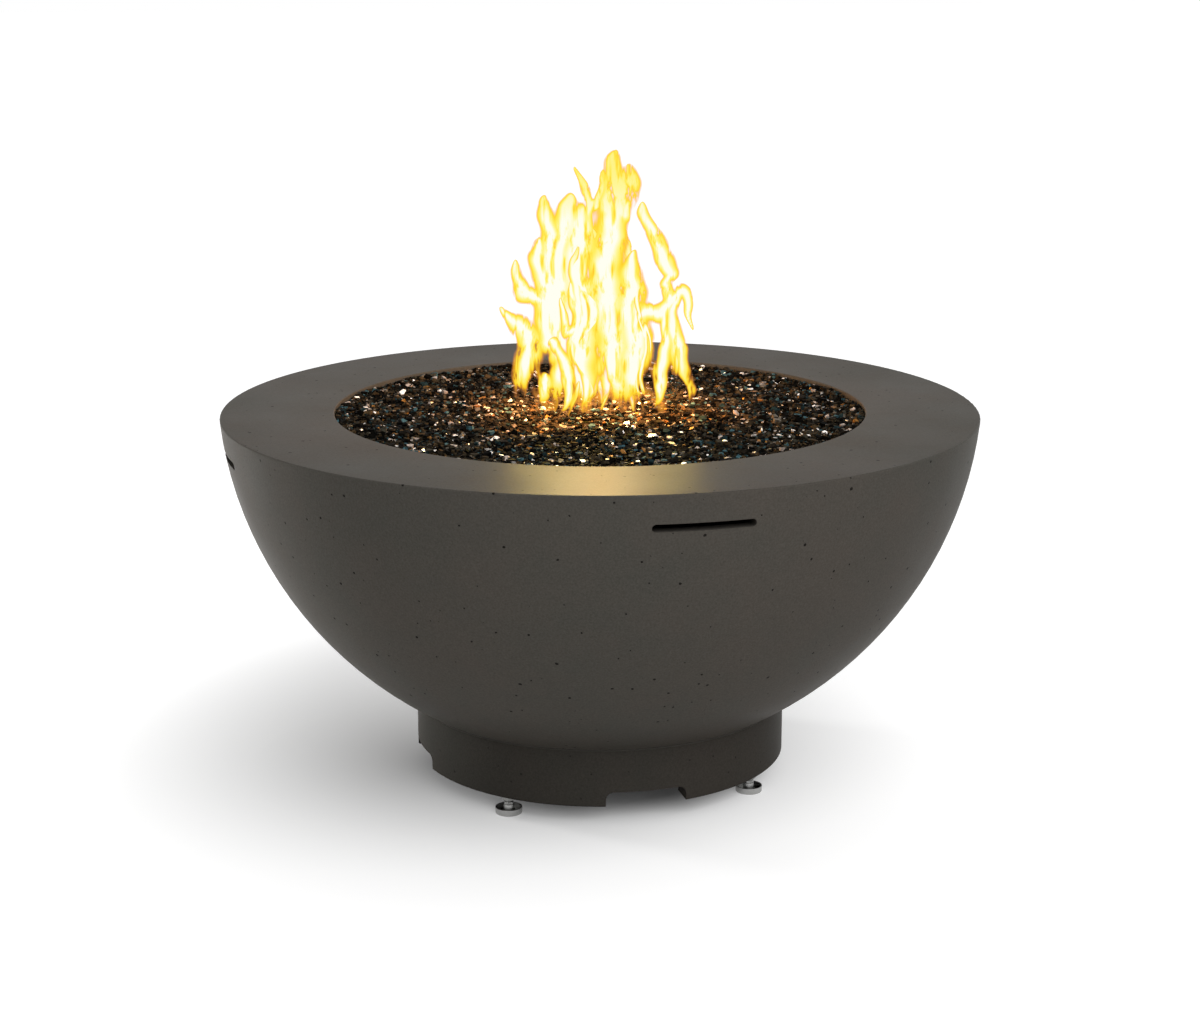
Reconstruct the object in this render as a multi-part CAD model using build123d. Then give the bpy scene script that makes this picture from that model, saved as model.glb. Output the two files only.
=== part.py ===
from build123d import *
import math
import os

# A free-standing propane fire bowl: a cast bowl on a cast ring with levelling feet,
# and a drop-in burner pan with its gas train inside.
# Millimetres, +Z up, origin on the floor under the bowl's axis.
# Vent slots and base notches lie on the X and Y axes, the gas inlet is on the +Y side.

# Clearances
SEAT_GAP = 0.1
RUN_FIT = 0.08
OVERRUN = 6.0

# Bowl shell: a zone of a sphere under a flat rim
RIM_DIAMETER = 1219.2
SPHERE_CENTRE_RISE = 52.0
SHELL_WALL = 24.0
RIM_THICKNESS = 30.0
RIM_EDGE_RADIUS = 2.0
OPENING_DIAMETER = 856.0
OPENING_EDGE_RADIUS = 2.0
LEDGE_DROP = 32.0
LEDGE_WIDTH = 28.0
LEDGE_THICKNESS = 26.0
LIP_WALL = 32.0
FLOOR_LIP = 58.0
SLOT_LENGTH = 152.4
SLOT_HEIGHT = 12.0
SLOT_DROP = 49.5
SIDE_COUNT = 4

# Base ring and the joint between ring and bowl
BASE_DIAMETER = 607.0
BASE_WALL = 45.0
BASE_CLEARANCE = 32.0
BASE_HEIGHT = 91.5
BASE_CHAMFER = 2.0
NOTCH_WIDTH = 130.0
NOTCH_HEIGHT = 24.0
NOTCH_RADIUS = 12.5
BEDDING = 2.0
BEDDING_GAP = 0.3
BEDDING_INSET = 0.5

# Levelling feet
PAD_DIAMETER = 42.6
PAD_HEIGHT = 10.0
PAD_WALL = 1.8
PAD_FLOOR = 2.5
PAD_EDGE_RADIUS = 1.5
PAD_BOSS_DIAMETER = 20.0
PAD_BOSS_TOP_DIAMETER = 16.0
PAD_BOSS_HEIGHT = 14.5
STUD_DIAMETER = 12.0
STUD_HEX = 14.0
STUD_HEX_HEIGHT = 4.0
STUD_ENGAGEMENT = 34.0
JAM_NUT_HEX = 19.0
JAM_NUT_HEIGHT = 9.0
INSERT_DIAMETER = 16.0
INSERT_FLANGE_DIAMETER = 24.0
INSERT_FLANGE = 1.5
INSERT_LENGTH = 42.0

# Burner pan
PAN_SHEET = 2.0
PAN_DEPTH = 45.0
PAN_FLANGE_GAP = 4.0
PAN_WALL_GAP = 3.0
PAN_BEND = 6.0
DRAIN_DIAMETER = 8.0
DRAIN_COUNT = 12
DRAIN_CIRCLE_SHARE = 0.8

# Fire glass bed
GLASS_DROP = 11.0
GLASS_CROWN = 3.0
GLASS_GAP = 0.3
GLASS_EDGE_GAP = 0.5
LUMP_PITCH = 57.0
LUMP_RISE = 6.0
LUMP_TURN = 137.5
LUMP_WEDGES = 6

# Ring burner
BURNER_RING_DIAMETERS = (300.0, 150.0)
BURNER_TUBE = 19.0
SPOKE_TUBE = 16.0
BURNER_TUBE_WALL = 1.2
BURNER_RISE = 30.0
HUB_DIAMETER = 40.0
HUB_HEIGHT = 30.0
HUB_SOCKET_DEPTH = 8.0
ARM_COUNT = 4
PORT_DIAMETER = 2.6
PORT_COUNTS = (9, 5)
LEG_DIAMETER = 8.0
LEG_ANGLE = 30.0

# Nipple through the pan and its lock nuts
NIPPLE_DIAMETER = 21.3
NIPPLE_BORE = 15.8
NIPPLE_DROP = 32.0
THREAD_ENGAGEMENT = 14.0
PAN_NUT_HEX = 32.0
PAN_NUT_HEIGHT = 8.0
PAN_HOLE_GAP = 0.4

# Air mixer, shutter and jet
MIXER_SOCKET_DIAMETER = 32.0
MIXER_SOCKET_LENGTH = 20.0
MIXER_THROAT_DIAMETER = 22.0
MIXER_THROAT_BORE = 14.0
MIXER_THROAT_LENGTH = 30.0
MIXER_TAPER = 8.0
CHAMBER_DIAMETER = 32.0
CHAMBER_WALL = 3.0
CHAMBER_LENGTH = 34.0
MIXER_FLANGE_DIAMETER = 40.0
MIXER_FLANGE = 4.0
MIXER_BOSS_DIAMETER = 22.0
MIXER_BOSS_LENGTH = 8.0
WINDOW_WIDTH = 11.0
WINDOW_HEIGHT = 18.0
WINDOW_COUNT = 4
SHUTTER_WALL = 1.6
SHUTTER_LENGTH = 30.0
SHUTTER_GAP = 0.2
SCREW_DIAMETER = 4.0
SCREW_HEAD_DIAMETER = 9.0
SCREW_HEAD_LENGTH = 5.0
JET_SPIGOT_DIAMETER = 12.0
JET_SPIGOT_LENGTH = 10.0
JET_BORE = 1.9
JET_WALL = 3.0
JET_HEX = 19.0
JET_HEX_LENGTH = 8.0

# Flare fittings, hose and nuts
FLARE_DIAMETER = 15.88
FLARE_LENGTH = 16.0
FLARE_CONE = 3.0
FLARE_BORE = 8.0
HOSE_DIAMETER = 16.0
HOSE_BORE = 10.0
HOSE_BEND_SHARE = 0.75
HOSE_NUT_HEX = 22.0
HOSE_NUT_LENGTH = 24.0
HOSE_NUT_SETBACK = 0.3

# Valve, inlet and hanger
INLET_RISE = 3.0
INLET_HEX = 24.0
INLET_HEX_LENGTH = 9.0
BULKHEAD_DIAMETER = 18.0
BULKHEAD_PROUD = 2.0
INLET_NUT_HEX = 24.0
INLET_NUT_LENGTH = 6.0
INLET_HOLE_GAP = 0.3
BARREL_DIAMETER = 30.0
BARREL_END_WALL = 5.0
VALVE_HEX = 27.0
VALVE_HEX_LENGTH = 12.0
BALL_DIAMETER = 20.0
BALL_BORE = 12.0
SEAT_LENGTH = 7.0
TAIL_LENGTH = 9.0
STEM_DIAMETER = 8.0
STEM_BOSS_DIAMETER = 16.0
STEM_BOSS_HEIGHT = 7.0
TANG_WIDTH = 3.0
TANG_DEPTH = 2.0
GLAND_HEX = 14.0
GLAND_HEIGHT = 6.0
LEVER_LENGTH = 84.0
LEVER_WIDTH = 14.0
LEVER_EYE_DIAMETER = 20.0
LEVER_SHEET = 3.0
LEVER_GAP = 0.3
GRIP_LENGTH = 46.0
GRIP_WALL = 2.0
GRIP_RADIUS = 3.0
LEVER_NUT_HEX = 13.0
LEVER_NUT_HEIGHT = 6.0
STEM_TOP = 1.5
BRACKET_SHEET = 3.0
BRACKET_WIDTH = 64.0
BRACKET_SKIRT = 15.0
BRACKET_LAND = 26.0
BRACKET_SCREW_SPACING = 36.0
BRACKET_SCREW_DIAMETER = 5.0
BRACKET_SCREW_LENGTH = 22.0
BRACKET_SCREW_HEAD_DIAMETER = 10.0
BRACKET_SCREW_HEAD = 3.0

# Radii and levels that follow from the sizes above
RIM_R = RIM_DIAMETER / 2
OPENING_R = OPENING_DIAMETER / 2
LEDGE_R = OPENING_R - LEDGE_WIDTH
BASE_R = BASE_DIAMETER / 2
BASE_INNER_R = BASE_R - BASE_WALL
SPHERE_R = math.hypot(RIM_R, SPHERE_CENTRE_RISE)
SEAT_SPHERE_R = SPHERE_R + BEDDING
JOINT_Z = BASE_CLEARANCE + BASE_HEIGHT
SPHERE_Z = JOINT_Z + math.sqrt(SEAT_SPHERE_R**2 - BASE_R**2)
RIM_Z = SPHERE_Z - SPHERE_CENTRE_RISE
LEDGE_Z = RIM_Z - LEDGE_DROP
FLOOR_HOLE_R = BASE_INNER_R - FLOOR_LIP
FOOT_CIRCLE_R = (BASE_R + BASE_INNER_R) / 2
NOTCH_TOP_Z = BASE_CLEARANCE + NOTCH_HEIGHT

PAN_FLANGE_R = OPENING_R - PAN_FLANGE_GAP
PAN_WALL_R = LEDGE_R - PAN_WALL_GAP
PAN_INNER_R = PAN_WALL_R - PAN_SHEET
PAN_TOP_Z = LEDGE_Z + PAN_SHEET
PAN_FLOOR_Z = PAN_TOP_Z - PAN_DEPTH
PAN_UNDER_Z = PAN_FLOOR_Z - PAN_SHEET
BURNER_Z = PAN_FLOOR_Z + BURNER_RISE
HUB_BOTTOM_Z = BURNER_Z - HUB_HEIGHT / 2
HUB_TOP_Z = BURNER_Z + HUB_HEIGHT / 2
NIPPLE_R = NIPPLE_DIAMETER / 2
NIPPLE_BOTTOM_Z = PAN_UNDER_Z - NIPPLE_DROP

MIXER_TOP_Z = NIPPLE_BOTTOM_Z + THREAD_ENGAGEMENT
THROAT_TOP_Z = MIXER_TOP_Z - MIXER_SOCKET_LENGTH
CHAMBER_TOP_Z = THROAT_TOP_Z - MIXER_THROAT_LENGTH
FLANGE_TOP_Z = CHAMBER_TOP_Z - CHAMBER_LENGTH
FLANGE_BOTTOM_Z = FLANGE_TOP_Z - MIXER_FLANGE
MIXER_BOTTOM_Z = FLANGE_BOTTOM_Z - MIXER_BOSS_LENGTH
CHAMBER_R = CHAMBER_DIAMETER / 2
WINDOW_Z = FLANGE_TOP_Z + CHAMBER_LENGTH / 2
JET_TIP_Z = MIXER_BOTTOM_Z - JET_HEX_LENGTH - FLARE_LENGTH

FLARE_R = FLARE_DIAMETER / 2
HOSE_R = HOSE_DIAMETER / 2
INLET_Z = BASE_CLEARANCE + INLET_RISE
BRACKET_OUTER_R = BASE_INNER_R - SEAT_GAP
BRACKET_INNER_R = BRACKET_OUTER_R - BRACKET_SHEET
INLET_HEX_CORNER_R = INLET_HEX / math.sqrt(3)
INLET_FACE_Y = math.sqrt(BRACKET_INNER_R**2 - INLET_HEX_CORNER_R**2) - SEAT_GAP
TAIL_Y = INLET_FACE_Y - INLET_HEX_LENGTH
BALL_R = BALL_DIAMETER / 2
BALL_BORE_R = BALL_BORE / 2
CAVITY_R = BALL_R + 2 * SEAT_GAP
SEAT_NEAR = math.sqrt(BALL_R**2 - BALL_BORE_R**2)
SEAT_FAR = SEAT_NEAR + SEAT_LENGTH
BALL_Y = TAIL_Y - TAIL_LENGTH - SEAT_FAR
BARREL_END_Y = BALL_Y - SEAT_FAR - BARREL_END_WALL
OUTLET_FACE_Y = BARREL_END_Y - VALVE_HEX_LENGTH
OUTLET_TIP_Y = OUTLET_FACE_Y - FLARE_LENGTH
BOSS_TOP_Z = INLET_Z + BARREL_DIAMETER / 2 + STEM_BOSS_HEIGHT
LEVER_Z = BOSS_TOP_Z + GLAND_HEIGHT + LEVER_GAP
LEVER_TOP_Z = LEVER_Z + LEVER_SHEET


def turned(*points):
    """Solid of revolution about Z from (radius, height) points."""
    return revolve(Plane.XZ * make_face(Polyline(*points, close=True)), Axis.Z)


def tube(outer_r, inner_r, low, high):
    """Plain tube about Z between two heights."""
    return turned((inner_r, low), (outer_r, low), (outer_r, high), (inner_r, high))


def rod(radius, low, high):
    """Plain cylinder about Z between two heights."""
    return Pos(0, 0, low) * extrude(Circle(radius), high - low)


def hex_bar(across_flats, low, high):
    """Hexagonal bar about Z between two heights."""
    flats = RegularPolygon(across_flats / 2, 6, major_radius=False)
    return Pos(0, 0, low) * extrude(flats, high - low)


def hex_nut(across_flats, bore_r, low, high):
    """Hexagonal nut about Z between two heights."""
    return hex_bar(across_flats, low, high) - rod(bore_r, low - OVERRUN, high + OVERRUN)


def radial(angle, height):
    """Place whose local Z points outward, at an angle from +Y and a height above the floor."""
    return Rot(0, 0, angle) * Pos(0, 0, height) * Rot(-90, 0, 0)


def around(count, first=0.0):
    """Evenly spaced angles of a full turn."""
    return [first + 360.0 * index / count for index in range(count)]


def rounded(sketch, point, radius):
    """Sketch with the corner nearest to a point rounded."""
    return fillet([sketch.vertices().sort_by_distance(point)[0]], radius)


def sphere_angle(radius, height):
    """Angle below the horizontal, in degrees, of a height on a sphere about the bowl's centre."""
    return math.degrees(math.asin((height - SPHERE_Z) / radius))


def sphere_height(radius, distance):
    """Height of the lower half of a sphere about the bowl's centre at a distance from the axis."""
    return SPHERE_Z - math.sqrt(radius**2 - distance**2)


def sphere_arc(radius, low, high):
    """Arc of a sphere's section between two heights."""
    start = sphere_angle(radius, low)
    return CenterArc((0, SPHERE_Z), radius, start, sphere_angle(radius, high) - start)


def bowl_section():
    """Half section of the bowl: outer sphere, flat rim, pan ledge and inner sphere."""
    inner_r = SPHERE_R - SHELL_WALL
    rim_under_z = RIM_Z - RIM_THICKNESS
    ledge_under_z = LEDGE_Z - LEDGE_THICKNESS
    outside = sphere_arc(SPHERE_R, sphere_height(SPHERE_R, FLOOR_HOLE_R), RIM_Z)
    inside = sphere_arc(inner_r, sphere_height(inner_r, FLOOR_HOLE_R), rim_under_z)
    rim = Polyline(
        outside @ 1,
        (OPENING_R, RIM_Z),
        (OPENING_R, LEDGE_Z),
        (LEDGE_R, LEDGE_Z),
        (LEDGE_R, ledge_under_z),
        (OPENING_R + LIP_WALL, ledge_under_z),
        (OPENING_R + LIP_WALL, rim_under_z),
        inside @ 1,
    )
    section = make_face([outside, rim, inside, Line(inside @ 0, outside @ 0)])
    section = rounded(section, (RIM_R, RIM_Z), RIM_EDGE_RADIUS)
    return rounded(section, (OPENING_R, RIM_Z), OPENING_EDGE_RADIUS)


def make_bowl_shell():
    """Cast bowl with its vent slots."""
    shell = revolve(Plane.XZ * bowl_section(), Axis.Z)
    slot_z = RIM_Z - SLOT_DROP
    inner_wall_r = math.sqrt((SPHERE_R - SHELL_WALL) ** 2 - (SPHERE_Z - slot_z) ** 2)
    slot_start = math.sqrt(inner_wall_r**2 - (SLOT_LENGTH / 2) ** 2) - OVERRUN
    slot = extrude(SlotOverall(SLOT_LENGTH, SLOT_HEIGHT), SPHERE_R + OVERRUN - slot_start)
    for angle in around(SIDE_COUNT):
        shell -= radial(angle, slot_z) * Pos(0, 0, slot_start) * slot
    return shell


def base_section():
    """Half section of the base ring, hollowed on top to take the bowl."""
    top = sphere_arc(SEAT_SPHERE_R, sphere_height(SEAT_SPHERE_R, BASE_INNER_R), JOINT_Z)
    wall = Polyline(
        top @ 1,
        (BASE_R, BASE_CLEARANCE + BASE_CHAMFER),
        (BASE_R - BASE_CHAMFER, BASE_CLEARANCE),
        (BASE_INNER_R, BASE_CLEARANCE),
        top @ 0,
    )
    return make_face([top, wall])


def notch_cutter():
    """Round-cornered opening in the underside of the base ring, pointing outward."""
    outline = Pos(0, (OVERRUN - NOTCH_HEIGHT) / 2) * Rectangle(NOTCH_WIDTH, NOTCH_HEIGHT + OVERRUN)
    outline = fillet(outline.vertices().group_by(Axis.Y)[0], NOTCH_RADIUS)
    start = math.sqrt(BASE_INNER_R**2 - (NOTCH_WIDTH / 2) ** 2) - OVERRUN
    return Pos(0, 0, start) * extrude(outline, BASE_R + OVERRUN - start)


def foot_places():
    """Places of the feet, on the diagonals in the middle of the ring's wall."""
    half_step = 180.0 / SIDE_COUNT
    return [Rot(0, 0, angle) * Pos(0, FOOT_CIRCLE_R, 0) for angle in around(SIDE_COUNT, half_step)]


def bracket_screw_places():
    """Places of the hanger's screws, pointing outward into the base ring's wall."""
    half_angle = math.degrees(BRACKET_SCREW_SPACING / 2 / BASE_INNER_R)
    height = NOTCH_TOP_Z + BRACKET_LAND / 2
    return [radial(angle, height) for angle in (-half_angle, half_angle)]


def make_base_ring():
    """Cast ring under the bowl, with notches, insert holes and screw holes."""
    ring = revolve(Plane.XZ * base_section(), Axis.Z)
    notch = notch_cutter()
    for angle in around(SIDE_COUNT):
        ring -= radial(angle, BASE_CLEARANCE) * notch
    insert_hole = rod(
        INSERT_DIAMETER / 2 + SEAT_GAP,
        BASE_CLEARANCE - OVERRUN,
        BASE_CLEARANCE + INSERT_LENGTH + SEAT_GAP,
    )
    for place in foot_places():
        ring -= place * insert_hole
    screw_hole = rod(
        BRACKET_SCREW_DIAMETER / 2 + SEAT_GAP,
        BASE_INNER_R - OVERRUN,
        BASE_INNER_R + BRACKET_SCREW_LENGTH + SEAT_GAP,
    )
    for place in bracket_screw_places():
        ring -= place * screw_hole
    return ring


def make_bedding_ring():
    """Thin joint ring between the bowl and the base ring."""
    low_r = SEAT_SPHERE_R - BEDDING_GAP
    high_r = SPHERE_R + BEDDING_GAP
    near = BASE_INNER_R + BEDDING_INSET
    far = BASE_R - BEDDING_INSET
    low = sphere_arc(low_r, sphere_height(low_r, near), sphere_height(low_r, far))
    high = sphere_arc(high_r, sphere_height(high_r, near), sphere_height(high_r, far))
    section = make_face([low, Line(low @ 1, high @ 1), high, Line(high @ 0, low @ 0)])
    return revolve(Plane.XZ * section, Axis.Z)


def make_foot_pad():
    """Dished pad with a raised rim and a tapered boss that takes the stud's end."""
    pad_r = PAD_DIAMETER / 2
    inner_r = pad_r - PAD_WALL
    socket_r = STUD_DIAMETER / 2 + RUN_FIT
    outline = Polyline(
        (0, 0),
        (pad_r, 0),
        (pad_r, PAD_HEIGHT),
        (inner_r, PAD_HEIGHT),
        (inner_r, PAD_FLOOR),
        (PAD_BOSS_DIAMETER / 2, PAD_FLOOR),
        (PAD_BOSS_TOP_DIAMETER / 2, PAD_BOSS_HEIGHT),
        (socket_r, PAD_BOSS_HEIGHT),
        (socket_r, PAD_FLOOR),
        (0, PAD_FLOOR),
        close=True,
    )
    section = rounded(make_face(outline), (pad_r, 0), PAD_EDGE_RADIUS)
    return revolve(Plane.XZ * section, Axis.Z)


def make_foot_stud():
    """Screwed stud with a hexagon just above the pad's boss."""
    hex_low = PAD_BOSS_HEIGHT + SEAT_GAP
    shank = rod(STUD_DIAMETER / 2, PAD_FLOOR + SEAT_GAP, BASE_CLEARANCE + STUD_ENGAGEMENT)
    return shank + hex_bar(STUD_HEX, hex_low, hex_low + STUD_HEX_HEIGHT)


def make_jam_nut():
    """Nut that locks a stud under its insert."""
    high = BASE_CLEARANCE - INSERT_FLANGE
    return hex_nut(JAM_NUT_HEX, STUD_DIAMETER / 2 + RUN_FIT, high - JAM_NUT_HEIGHT, high)


def make_foot_insert():
    """Flanged sleeve in the ring's underside that takes a stud."""
    bore_r = STUD_DIAMETER / 2 + RUN_FIT
    flange_z = BASE_CLEARANCE - INSERT_FLANGE
    return turned(
        (bore_r, flange_z),
        (INSERT_FLANGE_DIAMETER / 2, flange_z),
        (INSERT_FLANGE_DIAMETER / 2, BASE_CLEARANCE),
        (INSERT_DIAMETER / 2, BASE_CLEARANCE),
        (INSERT_DIAMETER / 2, BASE_CLEARANCE + INSERT_LENGTH),
        (bore_r, BASE_CLEARANCE + INSERT_LENGTH),
    )


def make_burner_pan():
    """Round sheet pan that hangs by its flange on the ledge inside the opening."""
    hole_r = NIPPLE_R + PAN_HOLE_GAP
    outline = Polyline(
        (hole_r, PAN_UNDER_Z),
        (PAN_WALL_R, PAN_UNDER_Z),
        (PAN_WALL_R, LEDGE_Z),
        (PAN_FLANGE_R, LEDGE_Z),
        (PAN_FLANGE_R, PAN_TOP_Z),
        (PAN_INNER_R, PAN_TOP_Z),
        (PAN_INNER_R, PAN_FLOOR_Z),
        (hole_r, PAN_FLOOR_Z),
        close=True,
    )
    section = rounded(make_face(outline), (PAN_WALL_R, PAN_UNDER_Z), PAN_BEND)
    section = rounded(section, (PAN_INNER_R, PAN_FLOOR_Z), PAN_BEND - PAN_SHEET)
    section = rounded(section, (PAN_INNER_R, PAN_TOP_Z), PAN_SHEET)
    pan = revolve(Plane.XZ * section, Axis.Z)
    drain = rod(DRAIN_DIAMETER / 2, PAN_UNDER_Z - OVERRUN, PAN_FLOOR_Z + OVERRUN)
    drain_r = PAN_WALL_R * DRAIN_CIRCLE_SHARE
    return pan - [Rot(0, 0, angle) * Pos(drain_r, 0, 0) * drain for angle in around(DRAIN_COUNT)]


def arch(half_width, low, spring):
    """Upright arch outline, a slot from a low level with a round top, in its own plane."""
    left = Line((-half_width, low), (-half_width, spring))
    crown = ThreePointArc((-half_width, spring), (0, spring + half_width), (half_width, spring))
    rest = Polyline((half_width, spring), (half_width, low), (-half_width, low))
    return make_face([left, crown, rest])


def burner_room():
    """Solids that the glass leaves free for the burner, open down to the pan's floor."""
    low = PAN_FLOOR_Z - OVERRUN
    ring_half = BURNER_TUBE / 2 + GLASS_GAP
    spoke_half = SPOKE_TUBE / 2 + GLASS_GAP
    room = []
    for diameter in BURNER_RING_DIAMETERS:
        outline = Pos(diameter / 2, 0) * arch(ring_half, low, BURNER_Z)
        room.append(revolve(Plane.XZ * outline, Axis.Z))
    reach = BURNER_RING_DIAMETERS[0]
    spoke = Plane.XZ * Pos(0, 0, -reach / 2) * extrude(arch(spoke_half, low, BURNER_Z), reach)
    room.append(spoke)
    room.append(Rot(0, 0, 90) * spoke)
    hub_r = max(HUB_DIAMETER / 2, PAN_NUT_HEX / math.sqrt(3)) + GLASS_GAP
    room.append(rod(hub_r, low, HUB_TOP_Z + GLASS_GAP))
    return room


def lump_rings():
    """Points of the bed's uneven top, ring by ring from the axis outward, one pitch apart.

    The top has a slight crown, and each point stands higher or lower than it by its share of the
    lumps' rise, which the cosine of its number times the turn gives.
    """
    bed_r = OPENING_R - GLASS_EDGE_GAP
    crown_z = RIM_Z - GLASS_DROP + GLASS_CROWN
    rings = []
    number = 0
    for ring in range(math.ceil(bed_r / LUMP_PITCH) + 1):
        radius = ring * LUMP_PITCH
        level = crown_z - GLASS_CROWN * (radius / bed_r) ** 2
        points = []
        for angle in around(max(LUMP_WEDGES * ring, 1)):
            share = (math.cos(math.radians(number * LUMP_TURN)) - 1) / 2
            at = math.radians(angle)
            points.append((radius * math.cos(at), radius * math.sin(at), level + LUMP_RISE * share))
            number += 1
        rings.append(points)
    return rings


def lump_faces(rings):
    """Three-sided faces between neighbouring rings of points, wedge by wedge round the axis."""
    faces = []
    for ring in range(1, len(rings)):
        inner, outer = rings[ring - 1], rings[ring]
        for wedge in range(LUMP_WEDGES):
            for step in range(ring):
                near = outer[wedge * ring + step]
                after = outer[(wedge * ring + step + 1) % len(outer)]
                own = inner[(wedge * (ring - 1) + step) % len(inner)]
                faces.append((near, after, own))
                if step < ring - 1:
                    faces.append((own, after, inner[(wedge * (ring - 1) + step + 1) % len(inner)]))
    return faces


def lump_block():
    """Block with the bed's uneven top, wider than the bed and standing on the pan's floor."""
    rings = lump_rings()
    tops = [Face(Wire.make_polygon([Vector(*corner) for corner in face])) for face in lump_faces(rings)]
    border = [Vector(*corner) for corner in rings[-1]]
    feet = [Vector(corner.X, corner.Y, PAN_FLOOR_Z) for corner in border]
    walls = [
        Face(Wire.make_polygon([feet[index - 1], feet[index], border[index], border[index - 1]]))
        for index in range(len(border))
    ]
    floor = Face(Wire.make_polygon(feet))
    return Solid(Shell([*tops, *walls, floor]))


def make_fire_glass():
    """Bed of crushed glass over the burner, nearly level, with an uneven top."""
    bed_r = OPENING_R - GLASS_EDGE_GAP
    wall_r = PAN_INNER_R - GLASS_GAP
    floor_z = PAN_FLOOR_Z + SEAT_GAP
    flange_z = PAN_TOP_Z + SEAT_GAP
    bed = turned(
        (0, RIM_Z),
        (0, floor_z),
        (wall_r - PAN_BEND, floor_z),
        (wall_r, floor_z + PAN_BEND),
        (wall_r, flange_z),
        (bed_r, flange_z),
        (bed_r, RIM_Z),
    )
    return (bed & lump_block()) - burner_room()


def centred_on_y(shape):
    """Shape turned about Z until its centre lies on the +Y side."""
    middle = shape.center()
    return Rot(0, 0, 90 - math.degrees(math.atan2(middle.Y, middle.X))) * shape


def burner_arm(ring_tube_r, spoke_r):
    """One spoke along +Y with its share of both rings, solid, about the burner's level."""
    arm = radial(0, 0) * rod(spoke_r, HUB_DIAMETER / 2 - HUB_SOCKET_DEPTH, BURNER_RING_DIAMETERS[0] / 2)
    for diameter in BURNER_RING_DIAMETERS:
        section = Plane.XZ * Pos(diameter / 2, 0) * Circle(ring_tube_r)
        arm += centred_on_y(revolve(section, Axis.Z, revolution_arc=360.0 / ARM_COUNT))
    return arm


def burner_ports():
    """Drills for the ports along the top of one arm's rings."""
    port = rod(PORT_DIAMETER / 2, 0, BURNER_TUBE / 2 + OVERRUN)
    span = 360.0 / ARM_COUNT
    ports = []
    for diameter, count in zip(BURNER_RING_DIAMETERS, PORT_COUNTS):
        angles = [span * ((index + 0.5) / count - 0.5) for index in range(count)]
        ports += [Rot(0, 0, angle) * Pos(0, diameter / 2, 0) * port for angle in angles]
    return ports


def make_ring_burner():
    """Double ring burner of welded arms, hollow, with ports on top and legs underneath."""
    tube_r = BURNER_TUBE / 2
    arm = burner_arm(tube_r, SPOKE_TUBE / 2)
    arm -= burner_arm(tube_r - BURNER_TUBE_WALL, SPOKE_TUBE / 2 - BURNER_TUBE_WALL)
    arm -= burner_ports()
    leg = rod(LEG_DIAMETER / 2, -BURNER_RISE, BURNER_TUBE_WALL / 2 - tube_r)
    arm += Rot(0, 0, LEG_ANGLE) * Pos(0, BURNER_RING_DIAMETERS[0] / 2, 0) * leg
    return repeated(arm, [Pos(0, 0, BURNER_Z) * Rot(0, 0, angle) for angle in around(ARM_COUNT)])


def make_burner_hub():
    """Hub with a socket for each arm and a thread for the nipple."""
    socket_start = HUB_DIAMETER / 2 - HUB_SOCKET_DEPTH
    socket = rod(SPOKE_TUBE / 2 + SEAT_GAP, socket_start, HUB_DIAMETER)
    passage = rod(SPOKE_TUBE / 2 - BURNER_TUBE_WALL, 0, HUB_DIAMETER)
    hub = rod(HUB_DIAMETER / 2, HUB_BOTTOM_Z, HUB_TOP_Z)
    hub -= rod(NIPPLE_R + SEAT_GAP, HUB_BOTTOM_Z - OVERRUN, HUB_BOTTOM_Z + THREAD_ENGAGEMENT)
    for angle in around(ARM_COUNT):
        hub -= radial(angle, BURNER_Z) * socket
        hub -= radial(angle, BURNER_Z) * passage
    return hub


def make_burner_nipple():
    """Pipe nipple from the burner's hub through the pan to the mixer."""
    return tube(NIPPLE_R, NIPPLE_BORE / 2, NIPPLE_BOTTOM_Z, HUB_BOTTOM_Z + THREAD_ENGAGEMENT)


def make_pan_lock_nuts():
    """Nuts on the nipple above and below the pan's floor."""
    bore_r = NIPPLE_R + SEAT_GAP
    above = hex_nut(PAN_NUT_HEX, bore_r, PAN_FLOOR_Z, PAN_FLOOR_Z + PAN_NUT_HEIGHT)
    below = hex_nut(PAN_NUT_HEX, bore_r, PAN_UNDER_Z - PAN_NUT_HEIGHT, PAN_UNDER_Z)
    return above + below


def window_cutters():
    """Bars that cut the air windows through the mixer's chamber or its shutter."""
    length = CHAMBER_DIAMETER + SHUTTER_WALL + OVERRUN
    bar = Pos(length / 2, 0, WINDOW_Z) * Box(length, WINDOW_WIDTH, WINDOW_HEIGHT)
    return [Rot(0, 0, angle) * bar for angle in around(WINDOW_COUNT)]


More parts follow.
